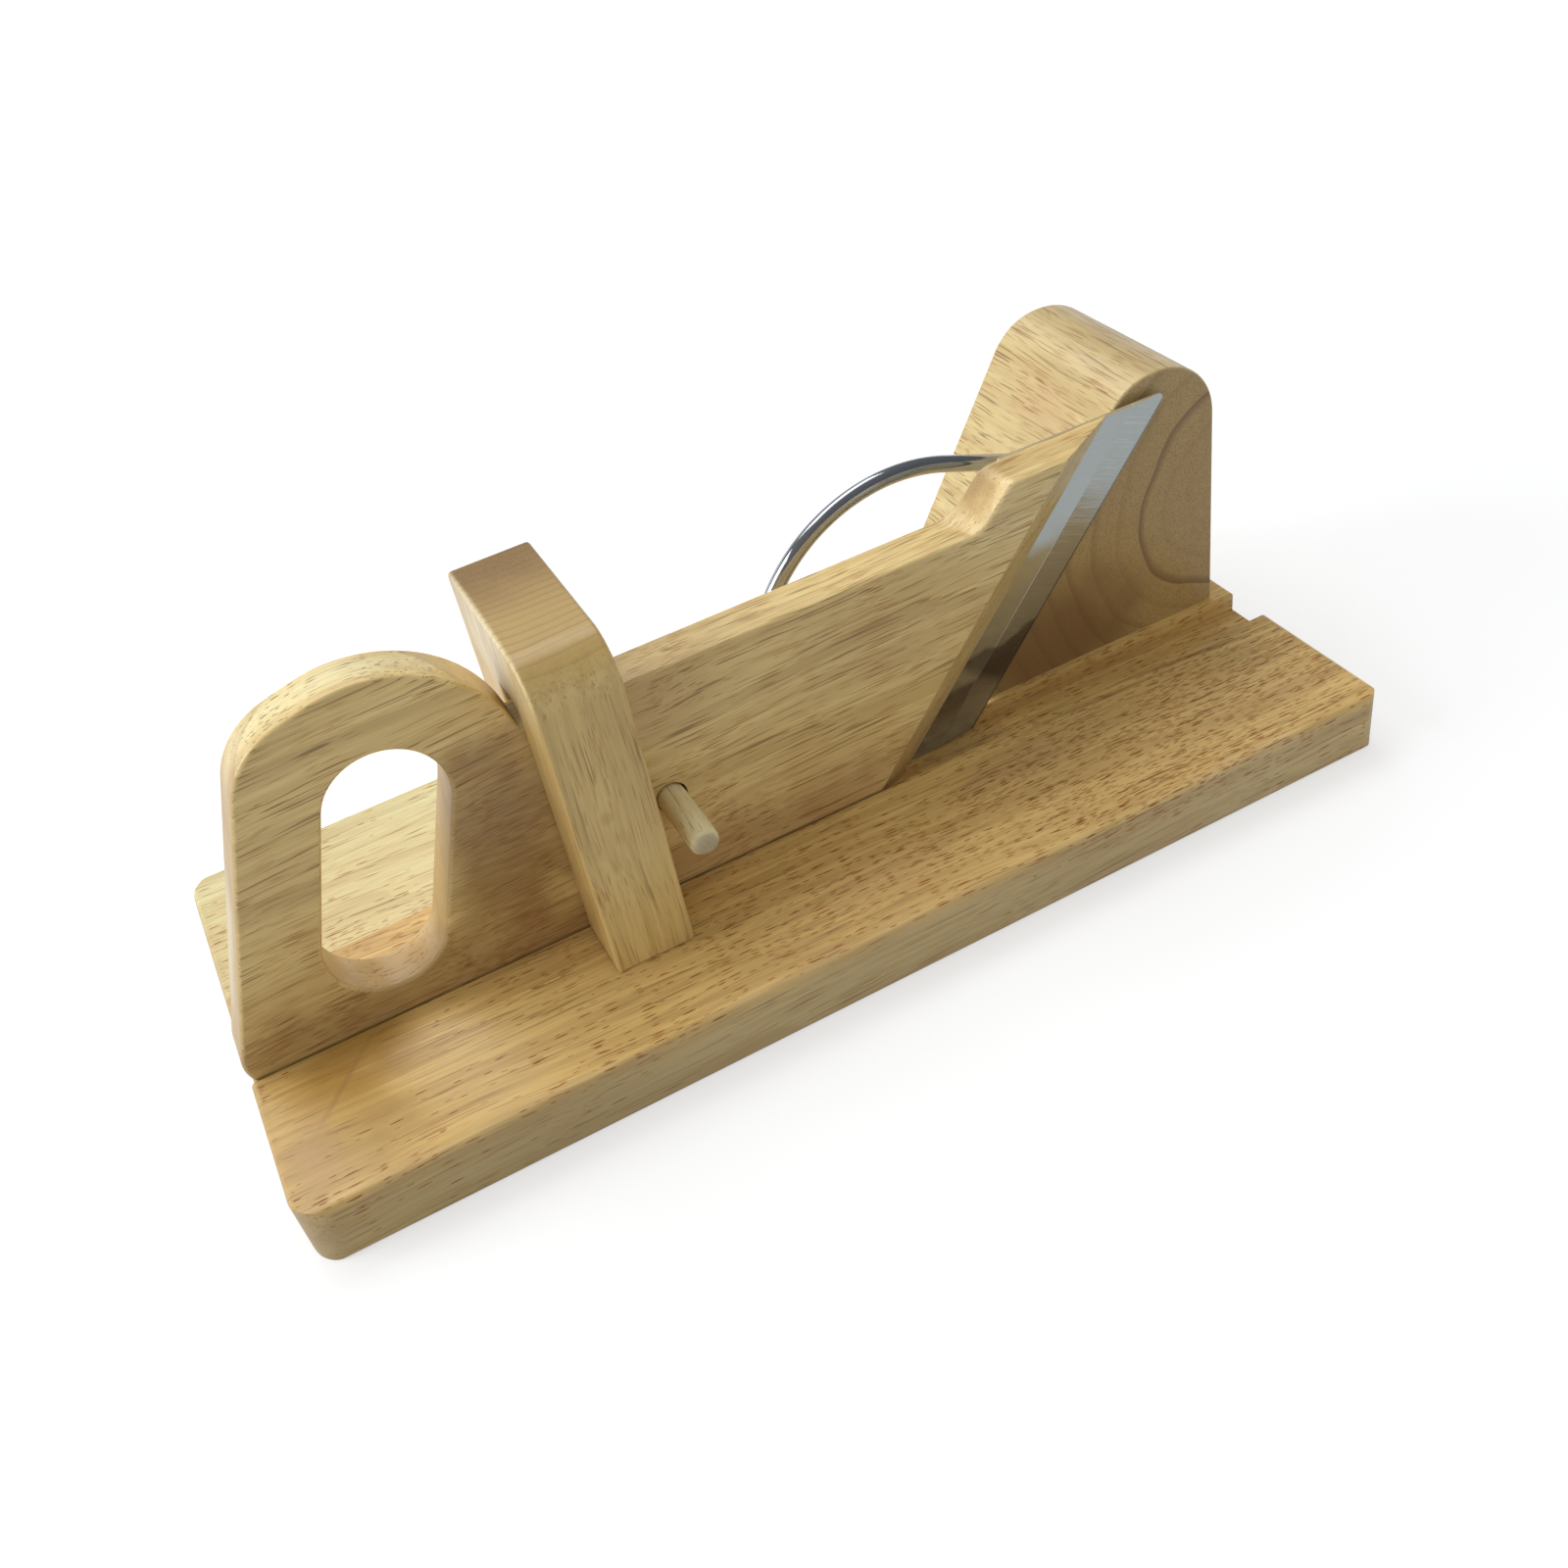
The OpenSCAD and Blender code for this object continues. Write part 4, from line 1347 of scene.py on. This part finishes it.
    def _peg(self) -> Shell:
        """The peg: a profile turned round Y, with ends that hand sanding has left a little lumpy.

        Point(i, t) = middle + radius(i) * (1 + lump(i, t)) * (cos t, sin t), where the lump is a sum of two slow
        waves that grows towards the front end.
        """
        radius, bend, length, worn = self.peg_radius, self.peg_bend, self.peg_length, self.peg_worn
        turn = np.radians(np.linspace(0, 90, 13))
        first = np.stack([radius - bend + bend * np.sin(turn), bend - bend * np.cos(turn)], axis=1)
        last = np.stack([first[::-1, 0], length - first[::-1, 1]], axis=1)
        middle = np.stack([np.full(11, radius), np.linspace(bend, length - bend, 13)[1:-1]], axis=1)
        profile = np.concatenate([first, middle, last])
        t = np.linspace(0, 2 * math.pi, 64, endpoint=False)[None, :]
        near_tip = np.clip((profile[:, 1:] - (length - worn)) / worn, 0, 1) ** 2
        wave = self.peg_waves[0] * np.sin(3 * t + 0.8) + self.peg_waves[1] * np.sin(2 * t + 2.0 + profile[:, 1:] / 2)
        lump = -self.peg_lump * near_tip * (1 + wave)
        wide = profile[:, :1] * (1 + lump)
        end = np.array([self.peg_hole[0], self.peg_back, self.peg_hole[1] - self.peg_drop])
        along = np.broadcast_to(-profile[:, 1:], wide.shape)
        rings = end + np.stack([wide * np.cos(t), along, wide * np.sin(t)], axis=2)
        return capped(rings, end, end - [0, length, 0])

    def build(self, shop: Workshop) -> None:
        """Makes and dresses the knife's pieces and the peg."""
        for name, shell, finish, body, slot, node in (
            ("knife_board_eased", self._board(), self.board_finish, "knife", "board_wood", "knife_board"),
            ("guide_saddle_eased", self._saddle(), self.saddle_finish, "knife", "saddle_wood", "guide_saddle"),
            ("stop_peg_sanded", self._peg(), self.peg_finish, "peg", "peg_wood", "stop_peg"),
        ):
            shop.stand_in(name, shell, finish.material(shop.shared), body, node)
        steel = BladeFinish("ground steel", (self.edge_foot, self.base_top), self.edge_rake, self.grind)
        shop.dress("knife_blade", steel.material(shop.shared))
        zinc = replace(ZINC, name="blade screw zinc").material(shop.shared)
        for node in ("blade_screw_low", "blade_screw_middle", "blade_screw_high"):
            shop.dress(node, zinc)


# Stage


@dataclass
class Studio:
    """A pale room and floor, a high soft lamp behind the object, one on its left, and the photograph's camera.

    The camera's eye is in millimetres, and the floor's lengths are in metres. The floor glows by floor_lift under the
    object, and by floor_rise more far away from it.
    """

    eye: Triple = (-100.19, -292.76, 275.28)
    right: Triple = (0.880163, -0.448308, -0.155991)
    down: Triple = (-0.399799, -0.523002, -0.752748)
    ahead: Triple = (0.25588, 0.724906, -0.63956)
    focal: float = 1603.67
    frame_width: float = 1600.0
    sensor: float = 36.0
    floor_colour: Colour = (0.46, 0.48, 0.49)
    floor_glow: Colour = (1.0, 0.98, 0.97)
    floor_lift: float = 0.6
    floor_rise: float = 0.5
    floor_fade: tuple[float, float] = (0.35, 1.5)
    floor_mirrored: float = 0.25
    floor_half: float = 3.0
    floor_top: float = -0.00002
    ambient: float = 0.5
    horizon: Colour = (0.9, 0.92, 0.94)
    ceiling: Colour = (0.05, 0.06, 0.07)
    ceiling_rise: tuple[float, float] = (0.1, 0.4)

    def _camera(self) -> None:
        """Places the camera, with no shift and no depth of field."""
        data = bpy.data.cameras.new("photo camera")
        data.sensor_width = self.sensor
        data.lens = self.sensor * self.focal / self.frame_width
        data.clip_start, data.clip_end = 0.01, 20.0
        camera = added("photo camera", data)
        axes = np.stack([self.right, -np.array(self.down), -np.array(self.ahead)], axis=1)
        place = np.eye(4)
        place[:3, :3] = axes
        place[:3, 3] = np.array(self.eye) * MM
        camera.matrix_world = Matrix(place.tolist())
        bpy.context.scene.camera = camera

    def _softbox(self, name: str, spot: Triple, aim: Triple, size: tuple[float, float], power: float) -> None:
        """A rectangular lamp that faces a point.

        Args:
            name: The lamp's name.
            spot: Where it stands, in metres.
            aim: The point that it faces, in metres.
            size: Its width and height, in metres.
            power: Its power, in watts.
        """
        data = bpy.data.lights.new(name, "AREA")
        data.shape = "RECTANGLE"
        data.size, data.size_y = size
        data.energy = power
        lamp = added(name, data)
        lamp.location = spot
        lamp.rotation_mode = "QUATERNION"
        lamp.rotation_quaternion = (Vector(aim) - Vector(spot)).to_track_quat("-Z", "Y")

    def _world(self) -> None:
        """An even pale surround, which mirrors as a room: bright at the horizon and darker overhead."""
        world = bpy.data.worlds.new("pale room")
        world.use_nodes = True
        bpy.context.scene.world = world
        graph = Graph(world.node_tree)
        where = graph.add("ShaderNodeTexCoord")
        up = graph.add("ShaderNodeSeparateXYZ", {0: where.outputs["Generated"]}).outputs[2]
        overhead = graph.fade(up, *self.ceiling_rise)
        room = graph.blend(overhead, self.horizon, self.ceiling)
        even = graph.add("ShaderNodeBackground", {"Color": (1.0, 1.0, 1.0), "Strength": self.ambient})
        mirrored = graph.add("ShaderNodeBackground", {"Color": room, "Strength": 1.0})
        white = graph.add("ShaderNodeBackground", {"Color": (1.0, 1.0, 1.0), "Strength": 1.0})
        path = graph.add("ShaderNodeLightPath")
        seen = graph.math("MAXIMUM", path.outputs["Is Camera Ray"], path.outputs["Is Transmission Ray"])
        glossy = path.outputs["Is Glossy Ray"]
        first = graph.add("ShaderNodeMixShader", {0: glossy, 1: even.outputs[0], 2: mirrored.outputs[0]})
        second = graph.add("ShaderNodeMixShader", {0: seen, 1: first.outputs[0], 2: white.outputs[0]})
        graph.add("ShaderNodeOutputWorld", {"Surface": second.outputs[0]})

    def _floor(self) -> None:
        """A wide pale floor that shows white to the camera, keeps the object's shadow and ends in white."""
        half, low = self.floor_half, self.floor_top
        mesh = bpy.data.meshes.new("pale floor")
        mesh.from_pydata([(x * half, y * half, low) for x, y in ((-1, -1), (1, -1), (1, 1), (-1, 1))], [], [range(4)])
        floor = added("pale floor", mesh)
        material, graph, shader = fresh_material("floor white")
        path = graph.add("ShaderNodeLightPath")
        mirrored = graph.math("MULTIPLY", path.outputs["Is Glossy Ray"], self.floor_mirrored)
        away = graph.vector("LENGTH", graph.add("ShaderNodeTexCoord").outputs["Object"])
        seen = graph.linear(graph.fade(away, *self.floor_fade), self.floor_rise, self.floor_lift)
        lift = graph.linear(path.outputs["Is Camera Ray"], seen, mirrored)
        matt = {"Base Color": self.floor_colour, "Roughness": 0.9, "Specular IOR Level": 0.0}
        graph.wire(shader, {**matt, "Emission Color": self.floor_glow, "Emission Strength": lift})
        mesh.materials.append(material)

    def build(self) -> None:
        """Sets up the room, the lamps, the floor and the camera."""
        scene = bpy.context.scene
        scene.view_settings.view_transform = "Standard"
        self._world()
        self._softbox("high window", (-0.15, 0.85, 1.45), (0.0, 0.0, 0.03), (1.4, 1.0), 11.5)
        self._softbox("left window", (-1.45, 0.4, 0.8), (0.0, 0.0, 0.05), (1.0, 0.9), 14.0)
        self._floor()
        self._camera()
        LOG.info("the stage is set")


def corners(box: tuple[Vector, Vector]) -> list[list[float]]:
    """A box's two corners as plain lists of numbers."""
    return [list(corner) for corner in box]


def main() -> None:
    """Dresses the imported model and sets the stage."""
    logging.basicConfig(level=logging.INFO, format="%(name)s: %(message)s")
    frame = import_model()
    shop = Workshop(frame["nodes"], SharedPatterns())
    Base().build(shop)
    Knife().build(shop)
    Studio().build()


if __name__ == "__main__":
    main()
